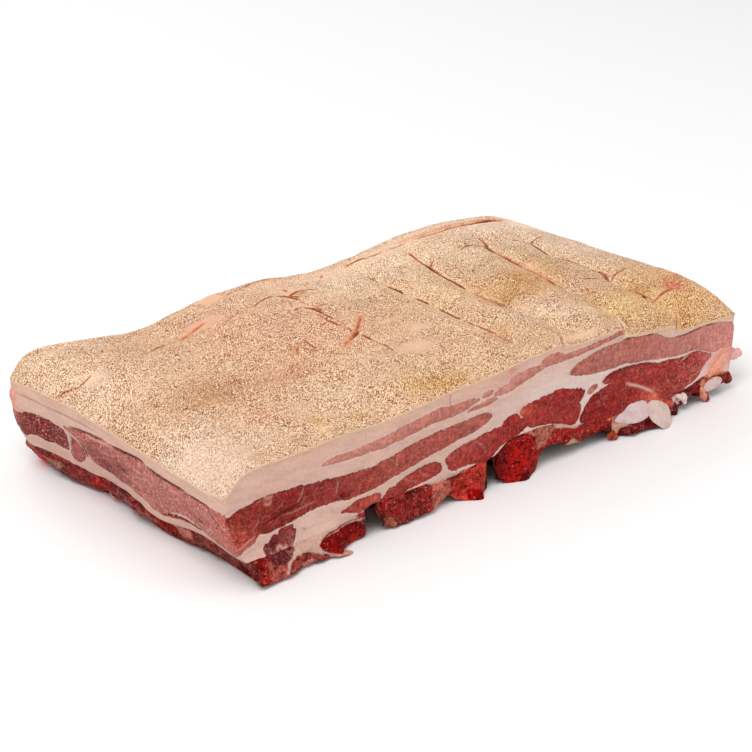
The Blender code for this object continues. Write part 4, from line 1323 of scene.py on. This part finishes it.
# How far the meat's lower edge is off the surface along the front and along the left end, and how far the
# torn meat swells out of the left end.
front_lift = curve((-200, 2), (-178, 0.5), (-122, 0.8), (-106, 1.4), (-98, 4), (-90, 1), (-60, 0.6),
                   (-45, 3), (-36, 1), (-20, 1), (-14, 2.5), (-8, 1.5), (0, 0.7), (18, 1), (23, 2.5),
                   (26, 7), (38, 10.4), (46, 7.2), (54, 5.2), (61, 4), (67, 6.3), (73, 4.4), (79, 6.3),
                   (83, 3), (88, 0.8), (138, 0.8), (144, 3), (147, 1.6), (153, 4.4), (161, 8), (164, 4),
                   (167.5, 1.2), (171, 4.2), (178, 5.4), (190, 4.6), (200, 8))
left_lift = curve((-98, 3.5), (-80, 4.5), (-74, 5), (-60, 2.4), (-46, 1.2), (-35, 2.2), (-15, 1.8),
                  (0, 0.8), (98, 0.8))
left_swell = curve((-98, -3), (-84, -2), (-62, 2), (-45, 0), (-28, -2), (-10, 1), (8, 3), (30, 2), (60, 0),
                   (98, 2.5))

# Each rib and cartilage: the middle of its front end, the half width, half height and tilt of the plain oval
# that it turns into further back, and the outline of its front end.
RODS = {
    "rib_1": ((-125, 6.6, 17, 7.8, 0), [
        (-142, 11), (-137, 13.4), (-129, 14.4), (-118, 15), (-109, 13), (-107, 8), (-106.6, 1.5), (-116, 0),
        (-127, 0.6), (-135, 4), (-140, 8)]),
    "rib_2": ((-33, 7.9, 13.5, 9.2, 0), [
        (-43, 14), (-39, 17.4), (-33, 19), (-23, 19.4), (-18.4, 16), (-17, 8), (-17, 1), (-24, -2),
        (-34, 0), (-42, 3), (-45, 8)]),
    "rib_3": ((6, 9.2, 15, 10.6, 0), [
        (-10.6, 14), (-8.6, 20), (-4, 24), (4, 25.6), (12, 25), (18, 21.4), (21, 14), (22, 5), (17, -1),
        (6, -1), (-3, 0), (-8.6, 6)]),
    "cartilage_1": ((100, 13, 13, 5, 3), [
        (86, 12), (90, 15.4), (96, 18.2), (102, 19.2), (108, 18.8), (112, 17), (112.6, 13), (111, 9.4),
        (105, 8), (97, 8.4), (90, 9.6)]),
    "cartilage_2": ((120, 7.5, 9, 8.4, -20), [
        (111.4, 9), (112, 14.6), (116, 16.6), (121, 15.6), (126, 13), (129.6, 9.6), (129.4, 4.6),
        (127, 0.6), (122, -1), (117, 1.6), (113, 5.4)]),
    "cartilage_3": ((178, 9.5, 10.5, 4.6, 3), [
        (168, 9), (172, 12.4), (179, 14), (186, 13.2), (190.6, 10.4), (187, 7), (178, 6), (171, 6.4)]),
}
CARTILAGE_COLOURS = {
    "cartilage_1": (210, 188, 186),
    "cartilage_2": (208, 184, 174),
    "cartilage_3": (216, 186, 180),
}
ROD_NARROWING = 0.72  # how wide a rod's plain section still is once it has narrowed towards the back
ROD_SIDES = 96
BLOCK_ROWS = 34
LIFT_REACH = 28.0  # how far in from the front and the left end the meat's lower edge is lifted
ROD_BLEND = 40.0  # over how long a rod's uneven front end turns into its plain section


def rod_radii(name):
    """Radii at even angles of a rod's front outline and of its plain oval further back."""
    (front_x, height, half_width, half_height, tilt), points = RODS[name]
    path = smooth_outline(points, True, 12)
    angle = np.arctan2(path[:, 1] - height, path[:, 0] - front_x)
    order = np.argsort(angle)
    turn = 2 * np.pi * np.arange(ROD_SIDES) / ROD_SIDES - np.pi
    radius = np.hypot(path[:, 0] - front_x, path[:, 1] - height)
    front = np.interp(turn, angle[order], radius[order], period=2 * np.pi)
    lean = turn - np.radians(tilt)
    oval = 1 / np.hypot(np.cos(lean) / half_width, np.sin(lean) / half_height)
    return turn, front, oval


def rod_section(name, y):
    """Centre of a rod at y and its radius at every angle."""
    front_x, height = RODS[name][0][:2]
    turn, front, oval = rod_radii(name)
    back_share = (y + HALF_WIDTH) / (2 * HALF_WIDTH)
    narrow = 1 - (1 - ROD_NARROWING) * ease(back_share * 2.5)
    plain = ease((y + HALF_WIDTH) / ROD_BLEND)
    return swept(front_x, y), height, turn, front * (1 - plain) + plain * narrow * oval


def inside_rods(x, y, z):
    """From 0 to 1: whether a place on a front or back wall lies where a rod comes out."""
    total = np.zeros_like(x)
    for name in RODS:
        for face in (-HALF_WIDTH, HALF_WIDTH):
            chosen = np.abs(y - face) < 8
            centre, height, turn, radii = rod_section(name, face)
            dx, dz = x[chosen] - centre, z[chosen] - height
            reach = np.interp(np.arctan2(dz, dx), turn, radii, period=2 * np.pi)
            total[chosen] = np.maximum(total[chosen], ease((reach - np.hypot(dx, dz)) / 1.6 + 0.3))
    return total


# How the notches' sides lean near the front, by block and wall: how far along X at the bottom, how much
# less at the top, and from which height and over which rise it changes.
NOTCH_LEANS = {
    (0, RIGHT): (1.0, 2.0, 2, 10),
    (1, LEFT): (1.0, 6.0, 3, 15),
    (1, RIGHT): (1.5, 4.0, 2, 17),
    (2, LEFT): (5.0, 8.0, 0, 16),
}


def notch_shift(number, side, y, z):
    """How far the walls of a block lean along X into the notches."""
    shift = np.zeros_like(z)
    for (block, wall), (low_shift, less, height, rise) in NOTCH_LEANS.items():
        if block == number:
            lean = ease((-62 - y) / 30) * (low_shift - less * ease((z - height) / rise))
            shift = np.where(side == wall, lean, shift)
    return shift


def torn_relief(plain, rough):
    """Torn meat's lumps, from large to small."""
    large = 1.5 * lumps(plain, 11, 21) + 1.1 * lumps(plain, 4.6, 22)
    small = 0.6 * lumps(plain, 2.2, 23) + 0.35 * lumps(plain, 1.1, 24)
    return rough * large + small


def underside(x, y):
    """Height of the rib meat's plain lower face."""
    return 1.0 + 0.7 * np.sin(x / 17 + 1) * np.cos(y / 23)


def rib_block(number, name, material):
    """One block of the rib layer's meat, torn and wet below, with a rounded lower edge."""
    inner_left, inner_right = number > 0, number < 2
    fine = FINE + 0.05
    x, y, outward, side = make_ring(
        lambda v: block_ends(v)[number][0],
        lambda v: block_ends(v)[number][1],
        (fine, COARSE, COARSE, COARSE if inner_left else fine),
        2.0,
    )
    outline = np.stack([x, y], 1)
    front = near_front(y, LIFT_REACH)
    base = underside(x, y) + front * front_lift(x) + near_left(x, LIFT_REACH) * (1 - front) * left_lift(y)
    top = rib_top(x, y) + 0.5
    z = base + np.linspace(0, 1, BLOCK_ROWS)[:, None] * (top - base)
    x, y, side = (np.tile(values, (BLOCK_ROWS, 1)) for values in (x, y, side))
    plain = np.stack([x, y, z], -1)
    low = ease((top - z) / 5)
    torn = torn_relief(plain, np.where(side == LEFT, 1.4, 0.8))
    relief = wander(plain) * (1 - low) + low * (torn - 0.4)
    # Its lower edge is rounded, and its upper one tucked in behind the layers above.
    relief -= 1.6 * (1 - ease((z - base) / 2.6)) ** 2
    relief -= 0.35 * ease((z - top + 0.8) / 0.8)
    # The narrow gap behind each notch leaves no room for lumps.
    between_blocks = ((side == LEFT) & inner_left) | ((side == RIGHT) & inner_right)
    relief = np.where(between_blocks, relief * ease((-64 - y) / 28) * 0.6, relief)
    hole = inside_rods(x, y, z)
    relief = relief * (1 - hole) - 1.5 * hole
    if not inner_left:
        relief += (side == LEFT) * left_swell(y) * low * ease(0.3 + z / 9)
    points = bend(x + notch_shift(number, side, y, z), y, z)
    points[..., :2] += relief[..., None] * outward
    points[..., 2] += 0.5 * low * lumps(plain, 3.2, 25)
    points[..., 2] = np.maximum(points[..., 2], LOWEST)
    attributes = paint_faces(points, np.where(between_blocks, HIDDEN, side), True)

    low_places = inner_places(outline, 3.2, 3.0)
    low_x, low_y = low_places.T
    under = underside(low_x, low_y)
    uneven = 0.6 * lumps(np.column_stack([low_places, under]), 7, 26)
    under = under + near_front(low_y, LIFT_REACH) * front_lift(low_x) + uneven + 0.4
    low_points = bend(low_x, low_y, np.maximum(under, LOWEST + 0.05))
    high_places = inner_places(outline, 16.0, 8.0)
    high_x, high_y = high_places.T
    high_points = bend(high_x, high_y, rib_top(high_x, high_y) - 0.3)
    ends = [(low_places, low_points), (high_places, high_points)]
    return close_block(name, points, attributes, outline, ends, material)


def make_rod(name, material):
    """A rib or cartilage: a long rod, cut flush with the slab's front and back faces."""
    is_rib = name.startswith("rib")
    # Its rings from the middle of the front end to that of the back end: place along Y, scale and wall.
    stations = HALF_WIDTH * np.sin(np.linspace(-0.5, 0.5, 40) * np.pi)
    shrink = np.concatenate([np.linspace(0.06, 0.9, 20), [0.94, 0.97, 0.99]])
    sections = [(-HALF_WIDTH, scale, FRONT) for scale in shrink]
    sections += [(y, 1.0, HIDDEN) for y in stations]
    sections += [(HALF_WIDTH, scale, BACK) for scale in shrink[::-1]]
    toward = {FRONT: -1, HIDDEN: 0, BACK: 1}
    rings = []
    for y, scale, wall in sections:
        centre, middle, turn, radii = rod_section(name, y)
        x = centre + scale * radii * np.cos(turn)
        z = np.maximum(middle + scale * radii * np.sin(turn), LOWEST + 0.05)
        plain = np.stack([x, np.full_like(x, y), z], -1)
        if is_rib:
            stands_out = 0.3 + torn_relief(plain, 0.6)
        else:
            stands_out = 0.7 * np.sqrt(1 - scale**6) + 0.3 * lumps(plain, 4, 44)
            stands_out += 0.15 * lumps(plain, 1.5, 45)
        ring = bend(*plain.T)
        ring[:, 1] += toward[wall] * stands_out * (1 - scale**8)
        rings.append(ring)
    points = np.vstack(rings + [rings[0].mean(0)[None], rings[-1].mean(0)[None]])
    walls = np.repeat([wall for _, _, wall in sections], ROD_SIDES)
    attributes = paint_faces(points, np.concatenate([walls, [FRONT, BACK]]), True)
    if not is_rib:
        attributes["lean_colour"][:] = linear(CARTILAGE_COLOURS[name])
    quads = ring_quads(len(rings), ROD_SIDES, True)
    triangles = end_fans(len(rings), ROD_SIDES)
    return make_mesh(name + ("_bone" if is_rib else "_end"), points, quads, triangles, attributes, material)


# Loose scraps of flesh and fat on the cut faces: centre, radii, tilt in degrees and colour.
SCRAPS = [
    ((84, -98, 3), (3.4, 2.6, 3), 0, (160, 66, 40)),
    ((139, -98.5, 5), (2.2, 2.4, 6), 8, (96, 30, 30)),
    ((143, -98.6, 10.6), (4, 1.8, 2), -30, (232, 206, 204)),
    ((147.5, -98.4, 8.6), (2.2, 2, 4), 30, (236, 214, 214)),
    ((166, -98, 6), (2.2, 2.4, 6), 28, (232, 150, 126)),
    ((168.6, -97.6, 4), (2.2, 2.6, 4), 10, (150, 56, 44)),
    ((175, -97, 19), (6, 2, 3), 25, (236, 160, 134)),
    ((183, -96.4, 23), (7, 2, 4), 35, (240, 172, 148)),
    ((188, -95, 18), (6, 2.4, 3), 10, (226, 136, 104)),
    ((199, -92.6, 21.6), (8.0, 3.0, 3.0), -8, (240, 184, 172)),
    ((193, -95, 8), (2, 3, 3.8), -10, (126, 40, 34)),
    ((-128, -103.4, 1.6), (6.4, 2.2, 0.9), -10, (206, 150, 130)),
    ((-200.4, 97.6, 46), (2.4, 4, 5), 10, (234, 164, 148)),
    ((-199.6, 94, 40), (2.2, 5, 3.4), -20, (230, 140, 122)),
]


def make_scraps(material):
    """All the scraps as one piece: small torn lumps."""
    rows, columns = 18, 28
    polar = np.linspace(0, np.pi, rows + 2)[1:-1, None]
    around = np.linspace(0, 2 * np.pi, columns, endpoint=False)
    ball = [np.sin(polar) * np.cos(around), np.sin(polar) * np.sin(around), np.cos(polar) + 0 * around]
    ball = np.vstack([np.stack(ball, -1).reshape(-1, 3), [[0, 0, 1], [0, 0, -1]]])
    size = len(ball)
    points, quads, triangles, tones = [], [], [], []
    for number, (centre, radii, tilt, colour) in enumerate(SCRAPS):
        turn = np.radians(tilt)
        x, y, z = (ball * radii).T
        turned = [x * np.cos(turn) - z * np.sin(turn), y, x * np.sin(turn) + z * np.cos(turn)]
        lump = np.stack(turned, -1) + centre
        lump += ball * (0.5 * min(radii) * lumps(lump, 2.6, 51) + 0.4 * lumps(lump, 1.3, 52))[:, None]
        lump[:, 2] = np.maximum(lump[:, 2], LOWEST)
        start = number * size
        points.append(lump)
        quads.append(ring_quads(rows, columns, True) + start)
        triangles += [[start + i for i in fan] for fan in end_fans(rows, columns)]
        tones.append(np.tile(linear(colour), (size, 1)))
    attributes = {"lean_colour": np.vstack(tones), "marrow": np.zeros(size * len(SCRAPS))}
    return make_mesh("scraps", np.vstack(points), np.vstack(quads), triangles, attributes, material)


# ---------------------------------------------------------------- materials


class Recipe:
    """A material made of nodes. Its sizes and depths are given in millimetres."""

    def __init__(self, name):
        self.material = bpy.data.materials.new(name)
        self.material.use_nodes = True
        self.tree = self.material.node_tree
        self.shader = self.tree.nodes["Principled BSDF"]
        self.place = self.add("ShaderNodeTexCoord").outputs["Object"]

    def put(self, socket, value):
        """Links an output to a socket, or sets the socket to a number or, from a tuple, to an 8-bit colour."""
        if isinstance(value, bpy.types.NodeSocket):
            self.tree.links.new(value, socket)
        elif isinstance(value, tuple):
            socket.default_value = (*linear(value), 1.0)
        else:
            socket.default_value = value

    def add(self, kind, inputs=None, **settings):
        node = self.tree.nodes.new(kind)
        for key, value in settings.items():
            setattr(node, key, value)
        for key, value in (inputs or {}).items():
            self.put(node.inputs[key], value)
        return node

    def number(self, key):
        return self.add("ShaderNodeAttribute", attribute_name=key).outputs["Fac"]

    def colour(self, key):
        return self.add("ShaderNodeAttribute", attribute_name=key).outputs["Color"]

    def stretched(self, stretch, turn):
        """The place, drawn out along turned axes."""
        if stretch is None:
            return self.place
        node = self.add("ShaderNodeMapping", {"Vector": self.place}, vector_type="TEXTURE")
        node.inputs["Scale"].default_value = stretch
        node.inputs["Rotation"].default_value = np.radians(turn)
        return node.outputs["Vector"]

    def noise(self, size_mm, detail=2.0, roughness=0.5, stretch=None, turn=(0, 0, 0), distortion=0.0):
        inputs = {
            "Vector": self.stretched(stretch, turn),
            "Scale": 1 / (size_mm * MM),
            "Detail": detail,
            "Roughness": roughness,
            "Distortion": distortion,
        }
        return self.add("ShaderNodeTexNoise", inputs).outputs["Fac"]

    def cells(self, size_mm, feature="F1", stretch=None, turn=(0, 0, 0), disorder=1.0):
        inputs = {
            "Vector": self.stretched(stretch, turn),
            "Scale": 1 / (size_mm * MM),
            "Randomness": disorder,
        }
        return self.add("ShaderNodeTexVoronoi", inputs, feature=feature).outputs["Distance"]

    def math(self, operation, first, second=0.0, clamp=False):
        node = self.add("ShaderNodeMath", {0: first, 1: second}, operation=operation, use_clamp=clamp)
        return node.outputs[0]

    def plus(self, first, second):
        return self.math("ADD", first, second)

    def times(self, first, second, clamp=False):
        return self.math("MULTIPLY", first, second, clamp)

    def fade(self, value, low, high, low_result=0.0, high_result=1.0):
        """A smooth step from low_result, where the value is low, to high_result, where it is high."""
        inputs = {"Value": value, "From Min": low, "From Max": high}
        inputs.update({"To Min": low_result, "To Max": high_result})
        node = self.add("ShaderNodeMapRange", inputs, interpolation_type="SMOOTHSTEP")
        return node.outputs["Result"]

    def mix(self, share, first, second, blend="MIX"):
        """Two colours mixed: sockets 6 and 7, and output 2, are the mixing node's colours."""
        node = self.add("ShaderNodeMix", {0: share, 6: first, 7: second}, data_type="RGBA", blend_type=blend)
        return node.outputs[2]

    def brighten(self, colour, *factors):
        """A colour made lighter or darker by factors, at the same hue."""
        total = factors[0]
        for factor in factors[1:]:
            total = self.times(total, factor)
        return self.add("ShaderNodeHueSaturation", {2: total, 4: colour}).outputs["Color"]

    def bump(self, height, depth_mm, before=None):
        node = self.add("ShaderNodeBump", {"Height": height, "Distance": depth_mm * MM, "Strength": 1.0})
        if before is not None:
            self.put(node.inputs["Normal"], before)
        return node.outputs["Normal"]

    def finish(self, colour, roughness, normal, glow=0.0, shine=0.1):
        self.put(self.shader.inputs["Base Color"], colour)
        self.put(self.shader.inputs["Roughness"], roughness)
        self.put(self.shader.inputs["Normal"], normal)
        self.shader.inputs["Subsurface Weight"].default_value = glow
        self.shader.inputs["Subsurface Radius"].default_value = (1.0, 0.35, 0.2)
        self.shader.inputs["Subsurface Scale"].default_value = 1.5 * MM
        self.shader.inputs["Specular IOR Level"].default_value = shine
        return self.material


def cut_face_material():
    """Fat and lean of a clean cut, told apart by how far inside the lean's edge a place lies."""
    r = Recipe("cut_face")
    edge = r.plus(r.number("lean_edge"), r.fade(r.noise(1.8, 2), 0.3, 0.7, -0.35, 0.35))
    is_lean = r.fade(edge, -0.2, 0.25)
    coarse = r.number("coarse")

    blotch = r.noise(9, 3, 0.6)
    grain = r.noise(2.0, 3, 0.7)
    strands = r.noise(2.0, 2, 0.6, stretch=(1, 1, 4))
    slants = r.noise(2.0, 3, 0.6, stretch=(4, 4, 1), turn=(0, 12, 0))
    plain = r.colour("lean_colour")
    varied = r.brighten(
        plain,
        r.fade(blotch, 0.35, 0.65, 1.14, 0.9),
        r.fade(grain, 0.36, 0.5, 1.28, 1.0),
        r.fade(strands, 0.36, 0.64, 1.22, 0.86),
        r.fade(slants, 0.36, 0.64, 0.84, 1.22),
    )
    varied = r.mix(r.fade(grain, 0.48, 0.66, 0.0, 0.5), varied, (98, 8, 6))
    # The paler a lean, the more even it is.
    lean = r.mix(r.fade(plain, 0.08, 0.25, 0.0, 0.5), varied, plain)
    # Its bundles end in slanting teeth with fat between them.
    teeth = r.cells(4.5, "DISTANCE_TO_EDGE", stretch=(0.8, 0.8, 2.2), turn=(0, 24, 0))
    gaps = r.times(r.fade(teeth, 0.08, 0.0), r.fade(plain, 0.1, 0.2, 0.0, 0.3))
    lean = r.mix(gaps, lean, (214, 166, 152))
    bundles = r.cells(8, "DISTANCE_TO_EDGE", stretch=(1.5, 1.5, 1))
    seams = r.times(r.fade(bundles, 0.05, 0.0), r.fade(blotch, 0.45, 0.6, 0.0, 0.14))
    lean = r.mix(seams, lean, (228, 168, 152))
    # Pale flecks of fat, together with painted glints of wet light.
    flecks_and_glints = r.times(r.fade(r.noise(1.3, 2, 0.6), 0.58, 0.66), r.fade(coarse, 0, 1, 0.14, 1.0))
    lean = r.mix(flecks_and_glints, lean, (230, 176, 164))
    pits = r.times(r.fade(r.noise(2.2, 2, 0.6, distortion=0.4), 0.4, 0.32), coarse)
    lean = r.mix(r.times(pits, 0.7), lean, (104, 22, 24))

    layers = r.noise(4, 3, 0.6, stretch=(4, 4, 1), turn=(0, 10, 0))
    fat = r.brighten(
        r.colour("fat_colour"),
        r.fade(layers, 0.3, 0.7, 1.06, 0.92),
        r.fade(r.noise(1.5, 2), 0.35, 0.65, 1.05, 0.95),
    )
    fat = r.mix(r.fade(edge, -1.3, -0.4, 0.0, 0.3), fat, (232, 206, 194))

    colour = r.mix(is_lean, fat, lean)
    # Painted shade darkens the rims of the lean and the creases, and the seams are pale.
    line = r.number("line")
    colour = r.mix(r.times(r.number("shade"), 0.8, True), colour, (70, 8, 8))
    colour = r.mix(r.times(line, 0.7, True), colour, (228, 180, 166))
    colour = r.mix(r.times(line, -1.2, True), colour, (74, 10, 10))
    roughness = r.fade(is_lean, 0, 1, 0.55, 0.5)
    lean_height = r.plus(grain, r.times(strands, 0.5))
    height = r.plus(r.times(lean_height, is_lean), r.times(layers, 0.25))
    normal = r.bump(height, 0.5)
    return r.finish(colour, roughness, normal, glow=0.05, shine=0.04)


def meat_material():
    """Torn, wet meat of the rib layer, and the sawn ribs in it."""
    r = Recipe("torn_meat")
    meat = r.math("SUBTRACT", 1.0, r.number("marrow"))
    patches = r.noise(6, 4, 0.65, distortion=0.6)
    small = r.noise(2.6, 3, 0.7, distortion=0.6)
    fine = r.noise(1.6, 2, 0.6)
    plain = r.colour("lean_colour")
    varied = r.brighten(
        plain,
        r.fade(patches, 0.34, 0.66, 0.62, 1.35),
        r.fade(small, 0.36, 0.64, 0.82, 1.3),
        r.fade(fine, 0.36, 0.64, 0.9, 1.1),
    )
    # Painted shade in the crevices, where the lumps are lowest.
    varied = r.mix(r.fade(small, 0.47, 0.36, 0.0, 0.9), varied, (58, 0, 0))
    # Pale fat among the meat is smoother than the meat itself.
    colour = r.mix(r.fade(plain, 0.12, 0.4, 0.0, 0.8), varied, plain)
    ridge = r.math("ABSOLUTE", r.math("SUBTRACT", r.noise(6, 3, 0.6, distortion=1.0), 0.5))
    threads = r.times(r.fade(ridge, 0.022, 0.0), r.times(meat, 0.3))
    colour = r.mix(threads, colour, (232, 160, 140))
    # Painted glints: small pale specks standing for wet highlights.
    colour = r.mix(r.fade(fine, 0.66, 0.74, 0.0, 0.5), colour, (240, 186, 170))
    roughness = r.fade(r.noise(3, 2), 0.35, 0.65, 0.18, 0.4)
    height = r.plus(r.plus(r.times(patches, 1.5), small), r.times(fine, 0.4))
    normal = r.bump(height, 1.1)
    return r.finish(colour, roughness, normal, glow=0.04, shine=0.03)


def cartilage_material():
    """Smooth, milky cartilage."""
    r = Recipe("cartilage")
    clouds = r.noise(6, 3, 0.55)
    fine = r.noise(1.8, 2, 0.6)
    colour = r.brighten(
        r.colour("lean_colour"),
        r.fade(clouds, 0.35, 0.65, 1.06, 0.94),
        r.fade(fine, 0.35, 0.65, 1.06, 0.92),
    )
    colour = r.mix(r.fade(clouds, 0.5, 0.7, 0.0, 0.4), colour, (216, 150, 138))
    normal = r.bump(r.plus(clouds, r.times(fine, 0.3)), 0.6)
    roughness = r.fade(fine, 0.3, 0.7, 0.28, 0.4)
    return r.finish(colour, roughness, normal, glow=0.2, shine=0.25)


def rind_material():
    """Scraped pig's skin: cream with fine brown pits, and pink where the outer skin is off."""
    r = Recipe("rind")
    bare = r.number("bare")
    clouds = r.noise(22, 3, 0.6)
    lie = (0, 0, -41)  # the way the pores and the specks are drawn out
    pores = r.cells(1.0, stretch=(0.85, 2.3, 1), turn=lie, disorder=0.85)
    specks = r.noise(0.6, 0, 0.5, stretch=(0.9, 2.5, 1), turn=lie)
    crowd = r.noise(16, 3, 0.6)
    skin = r.fade(bare, 0.2, 0.9, 1.0, 0.12)
    strength = r.times(r.fade(crowd, 0.36, 0.62, 0.7, 1.0), skin)
    colour = r.brighten(r.colour("rind_colour"), r.fade(clouds, 0.35, 0.65, 1.21, 1.11))
    # The skin between the pores is paler, partly a painted highlight on its ridges.
    ridge_highlights = r.times(r.fade(pores, 0.55, 0.75), strength)
    colour = r.mix(r.times(ridge_highlights, 0.5), colour, (255, 240, 214))
    pits = r.times(r.fade(pores, 0.42, 0.26), strength)
    colour = r.mix(r.times(pits, 0.35), colour, (168, 108, 52), "MULTIPLY")
    colour = r.mix(r.times(r.fade(specks, 0.5, 0.62), strength), colour, (162, 98, 42), "MULTIPLY")
    colour = r.mix(r.times(bare, 0.5, True), colour, (226, 184, 156))
    colour = r.mix(r.times(r.number("pink"), 0.8, True), colour, (222, 150, 108))
    # Cuts are dark, their own colour and painted shade, with a ragged edge and pale lips of painted highlight.
    dark = r.number("dark")
    colour = r.mix(r.fade(dark, 0.0, -0.5, 0.0, 0.7), colour, (252, 226, 194))
    ragged = r.plus(dark, r.fade(r.noise(1.6, 2), 0.3, 0.7, -0.1, 0.1))
    deep = r.mix(r.fade(ragged, 0.4, 0.8), (178, 98, 54), (118, 44, 18))
    colour = r.mix(r.fade(ragged, 0.15, 0.5), colour, deep)
    colour = r.mix(r.times(r.number("cut_side"), 0.9, True), colour, (232, 194, 164))
    height = r.plus(r.fade(pores, 0.2, 0.6), r.fade(specks, 0.35, 0.65, 0.6, 0.0))
    normal = r.bump(r.times(height, skin), 0.25)
    normal = r.bump(r.noise(4.5, 3, 0.6), 0.8, normal)
    return r.finish(colour, 0.55, normal, shine=0.12)


# ---------------------------------------------------------------- the object

cut_face = cut_face_material()
torn_meat = meat_material()
milky = cartilage_material()
skin = rind_material()


def show(piece, slot, *nodes):
    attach(piece, "root")
    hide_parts(*nodes)


show(make_rind(skin), "rind_and_fat", "rind_and_fat")
fat_cap = layered_wall("fat_cap", cap_base, lambda x, y: rind_top(x, y) - RIND_THICK + 0.5, 26, cut_face, 5)
show(fat_cap, "rind_and_fat", "rind_and_fat")
lean_layers = layered_wall("lean_layers", rib_top, cap_base, 46, cut_face)
show(lean_layers, "pale_lean", "upper_lean", "flank_lean", "dark_lean")
for number in range(3):
    block = rib_block(number, f"torn_meat_{number + 1}", torn_meat)
    show(block, "rib_meat", f"rib_meat_{number + 1}")
for name in RODS:
    is_rib = name.startswith("rib")
    show(make_rod(name, torn_meat if is_rib else milky), "bone" if is_rib else "cartilage", name)
show(make_scraps(torn_meat), "rib_meat", "rib_meat_3")


# ---------------------------------------------------------------- floor, light and camera

FLOOR_REACH = 6.0  # metres, like the places and sizes of the lights and the camera's place


def make_floor():
    corners = [(-1, -1, 0), (1, -1, 0), (1, 1, 0), (-1, 1, 0)]
    mesh = bpy.data.meshes.new("floor")
    mesh.from_pydata([FLOOR_REACH * Vector(corner) for corner in corners], [], [(0, 1, 2, 3)])
    floor = bpy.data.objects.new("floor", mesh)
    bpy.context.collection.objects.link(floor)
    paper = bpy.data.materials.new("floor")
    paper.use_nodes = True
    shader = paper.node_tree.nodes["Principled BSDF"]
    shader.inputs["Base Color"].default_value = (0.93, 0.93, 0.93, 1)
    shader.inputs["Roughness"].default_value = 0.9
    mesh.materials.append(paper)


def look_at(thing, place, target):
    """Puts a light or the camera at a place, turned to a target."""
    thing.location = place
    thing.rotation_euler = (Vector(target) - Vector(place)).to_track_quat("-Z", "Y").to_euler()
    bpy.context.collection.objects.link(thing)


def make_light(name, place, size, power, target=(0, 0, 0.03)):
    lamp = bpy.data.lights.new(name, "AREA")
    lamp.shape = "DISK"
    lamp.size = size
    lamp.energy = power
    look_at(bpy.data.objects.new(name, lamp), place, target)


def make_world(strength):
    world = bpy.data.worlds.new("studio")
    world.use_nodes = True
    background = world.node_tree.nodes["Background"]
    background.inputs["Color"].default_value = (1, 1, 1, 1)
    background.inputs["Strength"].default_value = strength
    bpy.context.scene.world = world


def make_camera(azimuth, elevation, distance, target, focal_length):
    """The camera, at a distance from its target towards two angles in degrees."""
    azimuth, elevation = np.radians(azimuth), np.radians(elevation)
    toward = Vector((
        np.sin(azimuth) * np.cos(elevation),
        -np.cos(azimuth) * np.cos(elevation),
        np.sin(elevation),
    ))
    lens = bpy.data.cameras.new("camera")
    lens.lens = focal_length
    lens.sensor_width = 36.0
    made = bpy.data.objects.new("camera", lens)
    look_at(made, Vector(target) + distance * toward, target)
    bpy.context.scene.camera = made


make_floor()
make_world(0.68)
make_light("soft_key", place=(-0.9, -0.5, 1.6), size=1.0, power=16.5)
make_light("soft_fill", place=(1.2, -1.2, 1.1), size=1.6, power=4)
make_light("back", place=(0.2, 1.7, 1.3), size=1.3, power=8)
make_camera(azimuth=-41.0, elevation=23.5, distance=1.2, target=(-0.004, 0.013, 0.03), focal_length=96.0)
bpy.context.scene.view_settings.view_transform = "Standard"
